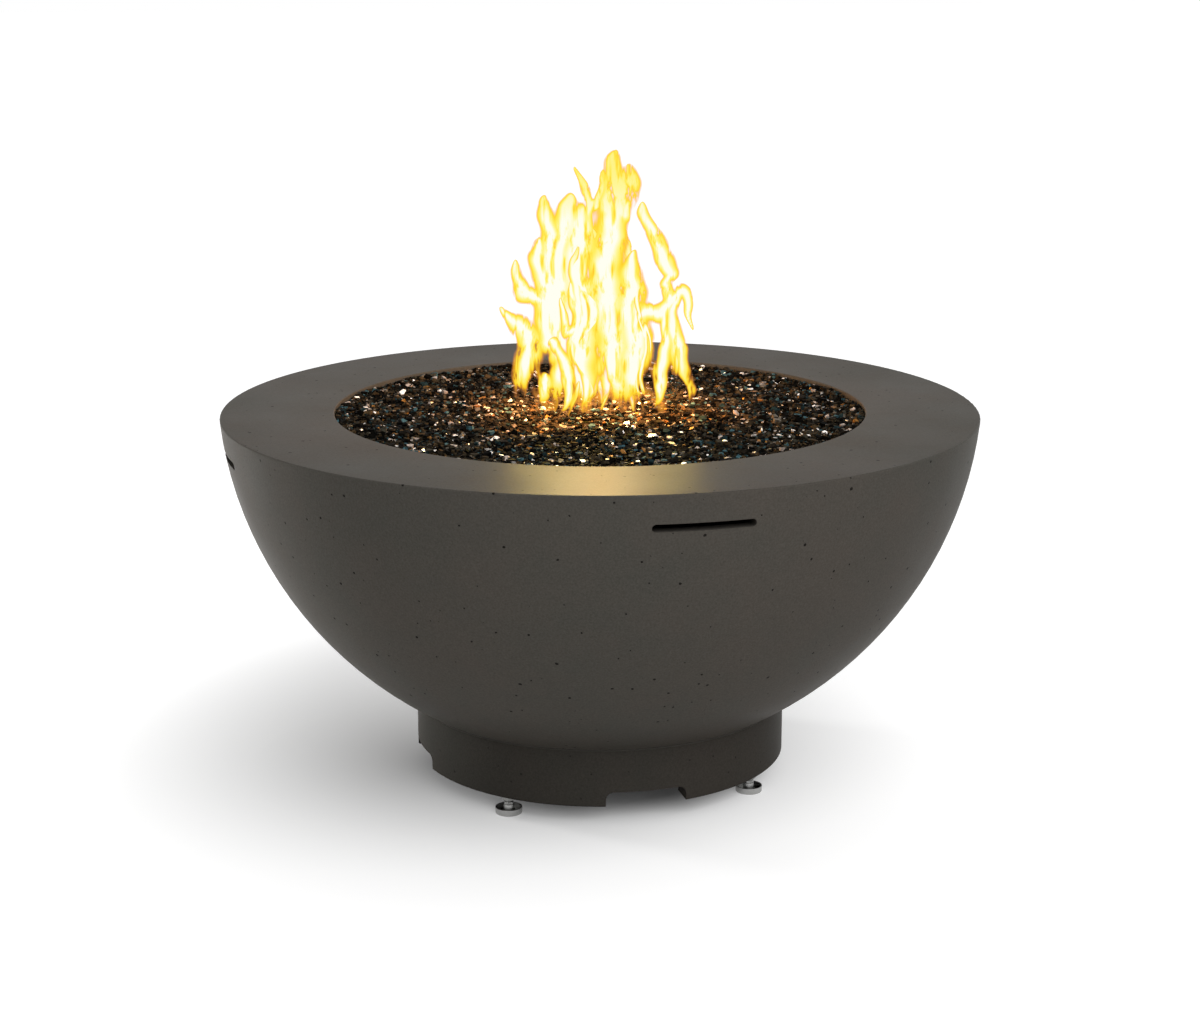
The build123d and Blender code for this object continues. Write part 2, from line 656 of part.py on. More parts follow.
def make_air_mixer():
    """Turned mixer: socket for the nipple, waisted throat, air chamber and boss for the jet."""
    socket_r = MIXER_SOCKET_DIAMETER / 2
    throat_r = MIXER_THROAT_DIAMETER / 2
    throat_bore_r = MIXER_THROAT_BORE / 2
    chamber_bore_r = CHAMBER_R - CHAMBER_WALL
    jet_r = JET_SPIGOT_DIAMETER / 2 + SEAT_GAP
    body = turned(
        (NIPPLE_R + SEAT_GAP, MIXER_TOP_Z),
        (socket_r, MIXER_TOP_Z),
        (socket_r, THROAT_TOP_Z),
        (throat_r, THROAT_TOP_Z - MIXER_TAPER),
        (throat_r, CHAMBER_TOP_Z + MIXER_TAPER),
        (CHAMBER_R, CHAMBER_TOP_Z),
        (CHAMBER_R, FLANGE_TOP_Z),
        (MIXER_FLANGE_DIAMETER / 2, FLANGE_TOP_Z),
        (MIXER_FLANGE_DIAMETER / 2, FLANGE_BOTTOM_Z),
        (MIXER_BOSS_DIAMETER / 2, FLANGE_BOTTOM_Z),
        (MIXER_BOSS_DIAMETER / 2, MIXER_BOTTOM_Z),
        (jet_r, MIXER_BOTTOM_Z),
        (jet_r, FLANGE_TOP_Z),
        (chamber_bore_r, FLANGE_TOP_Z),
        (chamber_bore_r, CHAMBER_TOP_Z - MIXER_TAPER),
        (throat_bore_r, CHAMBER_TOP_Z + MIXER_TAPER),
        (throat_bore_r, NIPPLE_BOTTOM_Z),
        (NIPPLE_R + SEAT_GAP, NIPPLE_BOTTOM_Z),
    )
    return body - window_cutters()


def shutter_screw_place():
    """Place of the shutter's screw, pointing outward between two windows."""
    return radial(180.0 / WINDOW_COUNT, WINDOW_Z)


def make_air_shutter():
    """Sleeve on the mixer's chamber whose windows open or close the air."""
    low = FLANGE_TOP_Z + SHUTTER_GAP
    inner_r = CHAMBER_R + RUN_FIT
    outer_r = inner_r + SHUTTER_WALL
    sleeve = tube(outer_r, inner_r, low, low + SHUTTER_LENGTH) - window_cutters()
    hole = rod(SCREW_DIAMETER / 2 + SEAT_GAP, 0, outer_r + OVERRUN)
    return sleeve - shutter_screw_place() * hole


def make_shutter_screw():
    """Thumb screw that clamps the shutter."""
    tip = CHAMBER_R + SHUTTER_GAP
    seat = CHAMBER_R + RUN_FIT + SHUTTER_WALL + SEAT_GAP
    shank = rod(SCREW_DIAMETER / 2, tip, seat)
    head = rod(SCREW_HEAD_DIAMETER / 2, seat, seat + SCREW_HEAD_LENGTH)
    return shutter_screw_place() * (shank + head)


def flare_end(face, direction):
    """Male flare thread with its cone, from a face along +Z or -Z."""
    tip = face + direction * FLARE_LENGTH
    cone = tip - direction * FLARE_CONE
    return turned((0, face), (FLARE_R, face), (FLARE_R, cone), (FLARE_R - FLARE_CONE, tip), (0, tip))


def make_gas_orifice():
    """Jet fitting under the mixer: spigot with a fine bore, hexagon and flare end."""
    hex_low = MIXER_BOTTOM_Z - JET_HEX_LENGTH
    spigot_top = MIXER_BOTTOM_Z + JET_SPIGOT_LENGTH
    body = rod(JET_SPIGOT_DIAMETER / 2, hex_low, spigot_top)
    body += hex_bar(JET_HEX, hex_low, MIXER_BOTTOM_Z)
    body += flare_end(hex_low, -1)
    body -= rod(FLARE_BORE / 2, JET_TIP_Z - OVERRUN, spigot_top - JET_WALL)
    return body - rod(JET_BORE / 2, hex_low, spigot_top + OVERRUN)


def make_flex_hose():
    """Gas connector from the valve's outlet, in under the bowl's axis and up to the jet."""
    start = Vector(0, OUTLET_TIP_Y, INLET_Z)
    turn = Vector(0, 0, INLET_Z)
    end = Vector(0, 0, JET_TIP_Z)
    bend = OUTLET_TIP_Y * HOSE_BEND_SHARE
    path = FilletPolyline(start, turn, end, radius=bend)
    section = Plane(start, z_dir=turn - start) * (Circle(HOSE_R) - Circle(HOSE_BORE / 2))
    hose = sweep(section, path)
    share = hose.volume / (section.area * path.length)
    print(f"hose bend radius {bend:.1f} mm, length {path.length:.1f} mm, volume share {share:.4f}")
    return hose


def hose_nut(face, direction):
    """Flare nut over a flare end and the hose behind it, from a face along +Z or -Z."""
    near = face + direction * HOSE_NUT_SETBACK
    tip = face + direction * FLARE_LENGTH
    far = near + direction * HOSE_NUT_LENGTH
    body = hex_bar(HOSE_NUT_HEX, min(near, far), max(near, far))
    thread = rod(FLARE_R + SEAT_GAP, min(face, tip), max(face, tip))
    back = far + direction * OVERRUN
    return body - thread - rod(HOSE_R + SEAT_GAP, min(tip, back), max(tip, back))


def make_hose_nuts():
    """The hose's two flare nuts, at the valve and at the jet."""
    at_valve = radial(0, INLET_Z) * hose_nut(OUTLET_FACE_Y, -1)
    return at_valve + hose_nut(MIXER_BOTTOM_Z - JET_HEX_LENGTH, -1)


def make_valve_body():
    """Ball valve barrel with its hexagon, outlet flare end and stem boss."""
    barrel = rod(BARREL_DIAMETER / 2, BARREL_END_Y, TAIL_Y)
    barrel += hex_bar(VALVE_HEX, OUTLET_FACE_Y, BARREL_END_Y)
    barrel += flare_end(OUTLET_FACE_Y, -1)
    body = radial(0, INLET_Z) * barrel
    body += Pos(0, BALL_Y, 0) * rod(STEM_BOSS_DIAMETER / 2, INLET_Z, BOSS_TOP_Z)
    cavity = rod(CAVITY_R, BALL_Y - SEAT_FAR, TAIL_Y + OVERRUN)
    cavity += rod(FLARE_BORE / 2, OUTLET_TIP_Y - OVERRUN, BALL_Y)
    body -= radial(0, INLET_Z) * cavity
    return body - Pos(0, BALL_Y, 0) * rod(STEM_DIAMETER / 2 + RUN_FIT, INLET_Z, BOSS_TOP_Z + OVERRUN)


def make_valve_ball():
    """Bored ball with a slot on top for the stem's tang."""
    bore = radial(0, 0) * rod(BALL_BORE_R, -BALL_DIAMETER, BALL_DIAMETER)
    slot_depth = TANG_DEPTH + SEAT_GAP
    slot_width = TANG_WIDTH + 2 * SEAT_GAP
    slot = Pos(0, 0, BALL_R - slot_depth / 2) * Box(BALL_DIAMETER, slot_width, slot_depth)
    return Pos(0, BALL_Y, INLET_Z) * (Sphere(BALL_R) - bore - slot)


def make_valve_seats():
    """Soft seat rings on both sides of the ball."""
    ring = tube(CAVITY_R - SEAT_GAP, BALL_BORE_R, SEAT_NEAR, SEAT_FAR) - Sphere(BALL_R + RUN_FIT)
    pair = ring + Rot(180, 0, 0) * ring
    return Pos(0, BALL_Y, INLET_Z) * Rot(-90, 0, 0) * pair


def make_valve_stem():
    """Stem with a tang in the ball and a plain end for the lever and its nut."""
    ball_top = INLET_Z + BALL_R
    low = ball_top + SEAT_GAP
    high = LEVER_TOP_Z + LEVER_NUT_HEIGHT + STEM_TOP
    tang_low = ball_top - TANG_DEPTH
    tang = Box(STEM_DIAMETER - 2 * SEAT_GAP, TANG_WIDTH, low - tang_low)
    tang = Pos(0, 0, (low + tang_low) / 2) * (tang & rod(STEM_DIAMETER / 2, -BALL_R, BALL_R))
    return Pos(0, BALL_Y, 0) * (rod(STEM_DIAMETER / 2, low, high) + tang)


def make_gland_nut():
    """Packing nut round the stem on the valve's boss."""
    nut = hex_nut(GLAND_HEX, STEM_DIAMETER / 2 + RUN_FIT, BOSS_TOP_Z, BOSS_TOP_Z + GLAND_HEIGHT)
    return Pos(0, BALL_Y, 0) * nut


def lever_strip(width, near, far, thickness):
    """Strip along the lever from one distance to another, centred on the lever's sheet."""
    strip = Pos(0, -(near + far) / 2) * Rectangle(width, far - near)
    middle = LEVER_Z + (LEVER_SHEET - thickness) / 2
    return Pos(0, BALL_Y, middle) * extrude(strip, thickness)


def make_valve_lever():
    """Flat lever with an eye on the stem, open along the pipe towards the bowl's axis."""
    eye = Pos(0, BALL_Y, 0) * rod(LEVER_EYE_DIAMETER / 2, LEVER_Z, LEVER_TOP_Z)
    lever = eye + lever_strip(LEVER_WIDTH, 0, LEVER_LENGTH, LEVER_SHEET)
    hole = rod(STEM_DIAMETER / 2 + SEAT_GAP, LEVER_Z - OVERRUN, LEVER_TOP_Z + OVERRUN)
    return lever - Pos(0, BALL_Y, 0) * hole


def make_lever_grip():
    """Soft sleeve pushed over the lever's end."""
    near = LEVER_LENGTH - GRIP_LENGTH
    far = LEVER_LENGTH + GRIP_WALL
    sleeve = lever_strip(LEVER_WIDTH + 2 * GRIP_WALL, near, far, LEVER_SHEET + 2 * GRIP_WALL)
    sleeve = fillet(sleeve.edges().filter_by(Axis.Z), GRIP_RADIUS)
    pocket_width = LEVER_WIDTH + 2 * SEAT_GAP
    pocket_height = LEVER_SHEET + 2 * SEAT_GAP
    return sleeve - lever_strip(pocket_width, near - OVERRUN, LEVER_LENGTH + SEAT_GAP, pocket_height)


def make_lever_nut():
    """Nut that holds the lever on the stem."""
    bore_r = STEM_DIAMETER / 2 + SEAT_GAP
    return Pos(0, BALL_Y, 0) * hex_nut(LEVER_NUT_HEX, bore_r, LEVER_TOP_Z, LEVER_TOP_Z + LEVER_NUT_HEIGHT)


def make_inlet_fitting():
    """Inlet: tail in the valve, hexagon behind the hanger and a flare end through the notch."""
    shoulder = BRACKET_OUTER_R + SEAT_GAP + INLET_NUT_LENGTH + BULKHEAD_PROUD
    body = hex_bar(INLET_HEX, TAIL_Y, INLET_FACE_Y)
    body += rod(CAVITY_R - SEAT_GAP, TAIL_Y - TAIL_LENGTH, TAIL_Y)
    body += rod(BULKHEAD_DIAMETER / 2, INLET_FACE_Y, shoulder)
    body += flare_end(shoulder, 1)
    bore = rod(FLARE_BORE / 2, TAIL_Y - TAIL_LENGTH - OVERRUN, shoulder + FLARE_LENGTH + OVERRUN)
    return radial(0, INLET_Z) * (body - bore)


def make_inlet_lock_nut():
    """Nut that clamps the inlet to the hanger."""
    low = BRACKET_OUTER_R + SEAT_GAP
    nut = hex_nut(INLET_NUT_HEX, BULKHEAD_DIAMETER / 2 + SEAT_GAP, low, low + INLET_NUT_LENGTH)
    return radial(0, INLET_Z) * nut


def make_valve_bracket():
    """Rolled hanger plate on the ring's inner wall, screwed on above the rear notch."""
    low = INLET_Z - BRACKET_SKIRT
    high = NOTCH_TOP_Z + BRACKET_LAND
    outline = Polyline(
        (BRACKET_INNER_R, low),
        (BRACKET_OUTER_R, low),
        (BRACKET_OUTER_R, high),
        (BRACKET_INNER_R, high),
        close=True,
    )
    arc = math.degrees(BRACKET_WIDTH / BASE_INNER_R)
    plate = centred_on_y(revolve(Plane.XZ * make_face(outline), Axis.Z, revolution_arc=arc))
    plate -= radial(0, INLET_Z) * rod(BULKHEAD_DIAMETER / 2 + INLET_HOLE_GAP, 0, BASE_R)
    hole = rod(BRACKET_SCREW_DIAMETER / 2 + SEAT_GAP, 0, BASE_R)
    return plate - [place * hole for place in bracket_screw_places()]


def make_bracket_screws():
    """Two screws that hold the hanger to the ring."""
    head_r = BRACKET_SCREW_HEAD_DIAMETER / 2
    seat = math.sqrt(BRACKET_INNER_R**2 - head_r**2) - SEAT_GAP
    screw = rod(BRACKET_SCREW_DIAMETER / 2, seat, BASE_INNER_R + BRACKET_SCREW_LENGTH)
    screw += rod(head_r, seat - BRACKET_SCREW_HEAD, seat)
    first, second = [place * screw for place in bracket_screw_places()]
    return first + second


def repeated(shape, places):
    """Group of separate copies of one shape."""
    return Compound([place * shape for place in places])


def make_parts():
    """Every node of the fire bowl by name."""
    feet = foot_places()
    parts = {
        "bowl_shell": make_bowl_shell(),
        "base_ring": make_base_ring(),
        "bedding_ring": make_bedding_ring(),
        "foot_inserts": repeated(make_foot_insert(), feet),
        "jam_nuts": repeated(make_jam_nut(), feet),
        "burner_pan": make_burner_pan(),
        "fire_glass": make_fire_glass(),
        "ring_burner": make_ring_burner(),
        "burner_hub": make_burner_hub(),
        "burner_nipple": make_burner_nipple(),
        "pan_lock_nuts": make_pan_lock_nuts(),
        "air_mixer": make_air_mixer(),
        "air_shutter": make_air_shutter(),
        "shutter_screw": make_shutter_screw(),
        "gas_orifice": make_gas_orifice(),
        "flex_hose": make_flex_hose(),
        "hose_nuts": make_hose_nuts(),
        "valve_body": make_valve_body(),
        "valve_ball": make_valve_ball(),
        "valve_seats": make_valve_seats(),
        "valve_stem": make_valve_stem(),
        "gland_nut": make_gland_nut(),
        "valve_lever": make_valve_lever(),
        "lever_grip": make_lever_grip(),
        "lever_nut": make_lever_nut(),
        "inlet_fitting": make_inlet_fitting(),
        "inlet_lock_nut": make_inlet_lock_nut(),
        "valve_bracket": make_valve_bracket(),
        "bracket_screws": make_bracket_screws(),
    }
    pad = make_foot_pad()
    stud = make_foot_stud()
    for number, place in enumerate(feet, start=1):
        parts[f"foot_pad_{number}"] = place * pad
        parts[f"foot_stud_{number}"] = place * stud
    return parts


os.makedirs("parts", exist_ok=True)
for name, shape in make_parts().items():
    export_step(shape, f"parts/{name}.step")
print(f"rim height {RIM_Z:.1f} mm, pan floor {PAN_FLOOR_Z:.1f} mm, inlet height {INLET_Z:.1f} mm")
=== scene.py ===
"""Looks of the propane fire bowl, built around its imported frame, in metres and in the frame's own axes."""
import math

import bpy
import numpy as np
from bpy.props import FloatProperty, FloatVectorProperty, IntProperty, PointerProperty
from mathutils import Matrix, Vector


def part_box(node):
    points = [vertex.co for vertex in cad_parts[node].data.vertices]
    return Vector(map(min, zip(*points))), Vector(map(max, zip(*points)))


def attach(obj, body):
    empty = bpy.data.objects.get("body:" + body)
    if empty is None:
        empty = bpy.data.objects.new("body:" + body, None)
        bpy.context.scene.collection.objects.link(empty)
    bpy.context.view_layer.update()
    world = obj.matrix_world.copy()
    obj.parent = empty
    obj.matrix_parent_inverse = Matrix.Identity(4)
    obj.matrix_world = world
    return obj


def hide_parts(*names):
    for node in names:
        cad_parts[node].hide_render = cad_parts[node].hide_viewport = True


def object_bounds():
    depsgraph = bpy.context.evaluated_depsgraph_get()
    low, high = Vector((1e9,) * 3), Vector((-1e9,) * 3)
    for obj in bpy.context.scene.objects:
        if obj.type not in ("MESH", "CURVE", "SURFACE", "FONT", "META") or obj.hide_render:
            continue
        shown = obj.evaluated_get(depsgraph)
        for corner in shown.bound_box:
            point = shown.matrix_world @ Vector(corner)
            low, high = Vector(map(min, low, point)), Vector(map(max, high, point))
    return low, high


bl_info = {
    "name": "Propane Fire Bowl",
    "version": (1, 0, 0),
    "blender": (4, 5, 0),
    "location": "View3D > Sidebar > Fire Bowl",
    "description": "Finishes, crushed glass, threads, flame and studio for the packed fire bowl",
    "category": "Object",
}

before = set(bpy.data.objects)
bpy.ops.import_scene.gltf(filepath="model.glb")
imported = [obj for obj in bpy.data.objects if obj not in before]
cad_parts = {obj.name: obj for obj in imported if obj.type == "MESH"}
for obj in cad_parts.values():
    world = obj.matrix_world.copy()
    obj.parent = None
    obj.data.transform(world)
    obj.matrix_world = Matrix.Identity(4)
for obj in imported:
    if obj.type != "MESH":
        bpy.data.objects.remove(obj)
CAD_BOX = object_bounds()
BED_RADIUS, _, BED_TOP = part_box("fire_glass")[1]
RIM_TOP = CAD_BOX[1].z
FULL_TURN = 2 * math.pi
X_AXIS = (1.0, 0.0, 0.0)
WHITE = (1.0, 1.0, 1.0, 1.0)
# Most of a cloudy pattern lies between these values.
CLOUD_SPAN = (0.3, 0.7)


class Finish:
    """One material, or the world, with short ways to add, set and link its nodes."""

    def __init__(self, name, holder=None):
        self.material = holder or bpy.data.materials.new(name)
        self.material.use_nodes = True
        self.tree = self.material.node_tree
        self.output = next(node for node in self.tree.nodes if "Output" in node.bl_idname)
        self.shader = self.output.inputs["Surface"].links[0].from_node

    def set(self, **values):
        """Set or link the shader's own inputs, by their names with underscores for spaces."""
        for name, value in values.items():
            self.join(value, self.shader.inputs[name.replace("_", " ")])

    def add(self, kind, inputs=None, **settings):
        """New node with its settings, and its inputs set to values or linked to sockets."""
        node = self.tree.nodes.new(kind)
        for name, value in settings.items():
            setattr(node, name, value)
        for key, value in (inputs or {}).items():
            self.join(value, node.inputs[key])
        return node

    def join(self, value, socket):
        """Link a socket, or set a plain value."""
        if isinstance(value, bpy.types.NodeSocket):
            self.tree.links.new(value, socket)
        else:
            socket.default_value = value

    def math(self, operation, first, second=0.0):
        """Result of one sum on two sockets or values."""
        return self.add("ShaderNodeMath", {0: first, 1: second}, operation=operation).outputs[0]

    def vector(self, operation, first, second=None):
        """Result of one sum on vectors, where the second is a vector, or a factor that scales the first."""
        node = self.add("ShaderNodeVectorMath", {0: first}, operation=operation)
        if second is not None:
            self.join(second, node.inputs["Scale" if operation == "SCALE" else 1])
        return node.outputs["Value" if operation in ("LENGTH", "DISTANCE") else "Vector"]

    def place(self):
        """The piece's own coordinates, in metres."""
        return self.add("ShaderNodeTexCoord").outputs["Object"]

    def stretched(self, scale):
        """The piece's own coordinates, scaled by three factors."""
        return self.add("ShaderNodeMapping", {"Vector": self.place(), "Scale": scale}).outputs[0]

    def noise(self, scale, detail=4.0, roughness=0.55, vector=None):
        """Cloudy pattern from 0 to 1, with about this many lumps in a metre."""
        inputs = {"Vector": vector or self.place(), "Scale": scale, "Detail": detail, "Roughness": roughness}
        return self.add("ShaderNodeTexNoise", inputs).outputs["Fac"]

    def wander(self, scale, amount):
        """The piece's own coordinates, pushed about by up to this amount, in a cloudy pattern."""
        cloud = self.add("ShaderNodeTexNoise", {"Vector": self.place(), "Scale": scale}).outputs["Color"]
        push = self.vector("SUBTRACT", cloud, (0.5, 0.5, 0.5))
        return self.vector("ADD", self.place(), self.vector("SCALE", push, 2 * amount))

    def span(self, value, low, high, to_low=0.0, to_high=1.0, smooth=False):
        """Value moved from one range to another and held at its ends."""
        kind = "SMOOTHSTEP" if smooth else "LINEAR"
        inputs = {"Value": value, "From Min": low, "From Max": high, "To Min": to_low, "To Max": to_high}
        return self.add("ShaderNodeMapRange", inputs, interpolation_type=kind).outputs[0]

    def ramp(self, value, stops, interpolation="LINEAR"):
        """Colour of a ramp with (position, colour) stops."""
        node = self.add("ShaderNodeValToRGB", {"Fac": value})
        node.color_ramp.interpolation = interpolation
        elements = node.color_ramp.elements
        while len(elements) < len(stops):
            elements.new(0.5)
        for element, (position, colour) in zip(elements, stops):
            element.position = position
            element.color = (*colour, 1.0)
        return node.outputs[0]

    def mix(self, factor, first, second):
        """Blend of two colours by a factor."""
        node = self.add("ShaderNodeMix", data_type="RGBA")
        colours = [socket for socket in node.inputs if socket.type == "RGBA"]
        self.join(factor, node.inputs[0])
        self.join(first, colours[0])
        self.join(second, colours[1])
        return next(socket for socket in node.outputs if socket.type == "RGBA")

    def bump(self, height, distance, strength=1.0, under=None):
        """Bump from a height pattern, on top of another bump."""
        inputs = {"Height": height, "Distance": distance, "Strength": strength}
        if under:
            inputs["Normal"] = under
        return self.add("ShaderNodeBump", inputs).outputs[0]

    def seen_rays(self):
        """1 on rays that show the background: camera, glossy and transmission rays."""
        path = self.add("ShaderNodeLightPath")
        total = path.outputs["Is Camera Ray"]
        for name in ("Is Glossy Ray", "Is Transmission Ray"):
            total = self.math("MAXIMUM", total, path.outputs[name])
        return total

    def blend(self, factor, first, second):
        """Show a blend of two shaders in place of the plain one."""
        self.tree.nodes.remove(self.shader)
        mixer = self.add("ShaderNodeMixShader", {0: factor, 1: first.outputs[0], 2: second.outputs[0]})
        self.join(mixer.outputs[0], self.output.inputs["Surface"])


def paint(finish, *nodes):
    """Give CAD nodes a finish."""
    for name in nodes:
        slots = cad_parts[name].data.materials
        slots.clear()
        slots.append(finish.material)


def new_piece(name, points, face_groups, finish, smooth=True):
    """Mesh object from an array of points and arrays of corner numbers, one array for each face size."""
    mesh = bpy.data.meshes.new(name)
    corners = np.concatenate([group.ravel() for group in face_groups])
    sizes = np.concatenate([np.full(len(group), group.shape[1]) for group in face_groups])
    mesh.vertices.add(len(points))
    mesh.vertices.foreach_set("co", points.astype(np.float32).ravel())
    mesh.loops.add(len(corners))
    mesh.loops.foreach_set("vertex_index", corners.astype(np.int32))
    mesh.polygons.add(len(sizes))
    mesh.polygons.foreach_set("loop_start", (np.cumsum(sizes) - sizes).astype(np.int32))
    mesh.polygons.foreach_set("use_smooth", np.full(len(sizes), smooth))
    mesh.update(calc_edges=True)
    mesh.validate()
    mesh.materials.append(finish.material)
    piece = bpy.data.objects.new(name, mesh)
    bpy.context.scene.collection.objects.link(piece)
    return piece


def grid_faces(rows, columns, closed_rows=False, closed_columns=False):
    """Corner numbers of the quads on a grid of rows by columns, wrapped where a direction is closed."""
    row = np.arange(rows if closed_rows else rows - 1)[:, None]
    column = np.arange(columns if closed_columns else columns - 1)[None, :]
    next_row = (row + 1) % rows
    next_column = (column + 1) % columns
    corners = (row * columns + column, row * columns + next_column)
    corners += (next_row * columns + next_column, next_row * columns + column)
    return np.stack(np.broadcast_arrays(*corners), -1).reshape(-1, 4)


def tube_faces(rows, columns):
    """Corner numbers of a tube on a grid, closed along its rows: its quads and its two end outlines."""
    first = np.arange(columns)
    ends = np.stack([first[::-1], first + (rows - 1) * columns])
    return [grid_faces(rows, columns, closed_columns=True), ends]


def joined(points, faces):
    """Several meshes as one: all their points, and the faces of each, numbered on."""
    starts = np.cumsum([0] + [len(part) for part in points[:-1]])
    return np.concatenate(points), [part + start for part, start in zip(faces, starts)]


def around_axis(reach, angle, height):
    """Points by their distance from the Z axis, angle about it and height."""
    return np.stack(np.broadcast_arrays(reach * np.cos(angle), reach * np.sin(angle), height), -1)


def eased(value, low, high):
    """Smooth step from 0 at a low value to 1 at a high one."""
    part = np.clip((value - low) / (high - low), 0, 1)
    return part * part * (3 - 2 * part)


def add_values(piece, name, values):
    """One number for each point of a piece, for its material to read."""
    piece.data.attributes.new(name, "FLOAT", "POINT").data.foreach_set("value", values.astype(np.float32))


def ride_on(piece, body, slot, *nodes):
    """Piece on a body, standing for the CAD nodes that it hides. The slot is not used."""
    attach(piece, body)
    if nodes:
        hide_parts(*nodes)


class ConcreteLook(bpy.types.PropertyGroup):
    """Finish of the cast concrete."""

    warm: FloatVectorProperty(name="Warm tone", description="Brown-grey tone of the mottling",
                              subtype="COLOR", default=(0.088, 0.078, 0.067), min=0.0, max=1.0)
    cool: FloatVectorProperty(name="Cool tone", description="Olive-grey tone of the mottling",
                              subtype="COLOR", default=(0.078, 0.074, 0.064), min=0.0, max=1.0)
    pores_per_metre: FloatProperty(name="Pore spacing", description="Cells in a metre that may hold a pore",
                                   default=70.0, min=1.0)
    pore_depth: FloatProperty(name="Pore depth", description="Depth of the air holes", default=0.0015,
                              min=0.0, unit="LENGTH")


class GlassLook(bpy.types.PropertyGroup):
    """Crushed glass bed."""

    spacing: FloatProperty(name="Spacing", description="Distance between neighbouring shards", default=0.0044,
                           min=0.002, unit="LENGTH")
    size: FloatProperty(name="Shard radius", description="Middle radius of a shard", default=0.0033,
                        min=0.001, unit="LENGTH")
    seed: IntProperty(name="Seed", description="Start of the random draws", default=7)


class FlameLook(bpy.types.PropertyGroup):
    """Flame over the burner."""

    seed: IntProperty(name="Seed", description="Start of the random draws", default=11)
    glow: FloatProperty(name="Glow", description="Power of the light that the flame gives", default=5.6,
                        min=0.0, subtype="POWER")
    embers: FloatProperty(name="Ember glow", description="Power of the light on the glass under the flame",
                          default=3.0, min=0.0, subtype="POWER")
    # Painted reflection: glossy rays see the flame this many times brighter than the camera does.
    reflected: FloatProperty(name="Reflected", description="Brightness of the flame where it is reflected",
                             default=11.2, min=0.0)


class StudioLook(bpy.types.PropertyGroup):
    """Camera, lights and floor."""

    distance: FloatProperty(name="Distance", description="Camera to the bowl's axis, level", default=3.8515,
                            min=0.5, unit="LENGTH")
    height: FloatProperty(name="Height", description="Camera above the floor", default=1.3947, unit="LENGTH")
    azimuth: FloatProperty(name="Azimuth", description="Camera's turn round the bowl",
                           default=math.radians(-14.1), unit="ROTATION")
    pitch: FloatProperty(name="Pitch", description="Camera's tilt below level", default=math.radians(14.02),
                         unit="ROTATION")
    lens: FloatProperty(name="Lens", description="Focal length on a 36 mm sensor", default=72.75, min=10.0,
                        unit="CAMERA")
    ambient: FloatProperty(name="Ambient", description="Even light from all round", default=0.17, min=0.0)


def settings():
    """The add-on's settings on the scene."""
    return bpy.context.scene.fire_bowl


class FireBowlSettings(bpy.types.PropertyGroup):
    """All settings of the fire bowl."""

    concrete: PointerProperty(type=ConcreteLook)
    glass: PointerProperty(type=GlassLook)
    flame: PointerProperty(type=FlameLook)
    studio: PointerProperty(type=StudioLook)


CONCRETE_GLOSS, CONCRETE_ROUGHNESS = 0.0156, (0.39, 0.48)
BLOTCHES, MOTTLES, GLOSS_CLOUDS, SAND_GRAINS = 2.2, 14.0, 7.0, 330.0
COOL_AT, WARM_AT, SAND_SHADE, SAND_RELIEF = 0.58, 0.92, 0.14, 0.00025
# The pore tone is painted shade in the air holes.
PORE_SHADE_TONE, PORE_SIZES, PORE_EDGE = (0.008, 0.007, 0.006, 1.0), (0.01, 0.20), 0.035
PORE_WAVERS, PORE_WAVER = 150.0, 0.0016
BOWL_DEPTH, BOWL_PORE_SHADE = 0.98, 0.85
# The base ring's lower depth is painted shade from the bowl's overhang above it.
BASE_SHADED_DEPTH, BASE_PORE_SHADE = 0.63, 0.40
MASTIC_TONES, MASTIC_RELIEF = [(0.3, (0.046, 0.042, 0.035)), (0.7, (0.060, 0.055, 0.046))], 0.0004


def concrete_finish(name, look, depth, pore_shade):
    """Sealed cast concrete: warm and cool mottling, fine sand speckle and scattered air holes, dark with
    painted shade.

    The depth scales its tone, and the pore shade is how dark the painted shade in the air holes is. A pore's
    size grows with the cube of its cell's draw, so that few are large.
    """
    finish = Finish(name)
    blotch = finish.noise(BLOTCHES, detail=5.0, roughness=0.6)
    mottle = finish.noise(MOTTLES, detail=4.0, roughness=0.6)
    clouds = finish.math("ADD", blotch, finish.math("MULTIPLY", mottle, 0.5))
    colour = finish.ramp(clouds, [(COOL_AT, tuple(look.cool)), (WARM_AT, tuple(look.warm))])
    sand = finish.noise(SAND_GRAINS, detail=3.0, roughness=0.65)
    shade = finish.span(sand, *CLOUD_SPAN, (1 - SAND_SHADE) * depth, (1 + SAND_SHADE) * depth)
    colour = finish.vector("SCALE", colour, shade)
    holes = {"Vector": finish.wander(PORE_WAVERS, PORE_WAVER), "Scale": look.pores_per_metre}
    cells = finish.add("ShaderNodeTexVoronoi", holes)
    chance = finish.add("ShaderNodeSeparateColor", {0: cells.outputs["Color"]}).outputs[0]
    size = finish.span(finish.math("POWER", chance, 3.0), 0.0, 1.0, *PORE_SIZES)
    inside = finish.math("SUBTRACT", size, cells.outputs["Distance"])
    pore = finish.span(inside, 0.0, PORE_EDGE, smooth=True)
    # Painted shade: the air holes take the dark pore tone.
    colour = finish.mix(finish.math("MULTIPLY", pore, pore_shade), colour, PORE_SHADE_TONE)
    gloss = finish.noise(GLOSS_CLOUDS, detail=5.0, roughness=0.6)
    rough = finish.span(gloss, *CLOUD_SPAN, *CONCRETE_ROUGHNESS)
    normal = finish.bump(sand, SAND_RELIEF, strength=0.35)
    normal = finish.bump(finish.math("SUBTRACT", 1.0, pore), look.pore_depth, strength=0.9, under=normal)
    finish.set(Base_Color=colour, Roughness=rough, Normal=normal, Specular_IOR_Level=CONCRETE_GLOSS)
    return finish


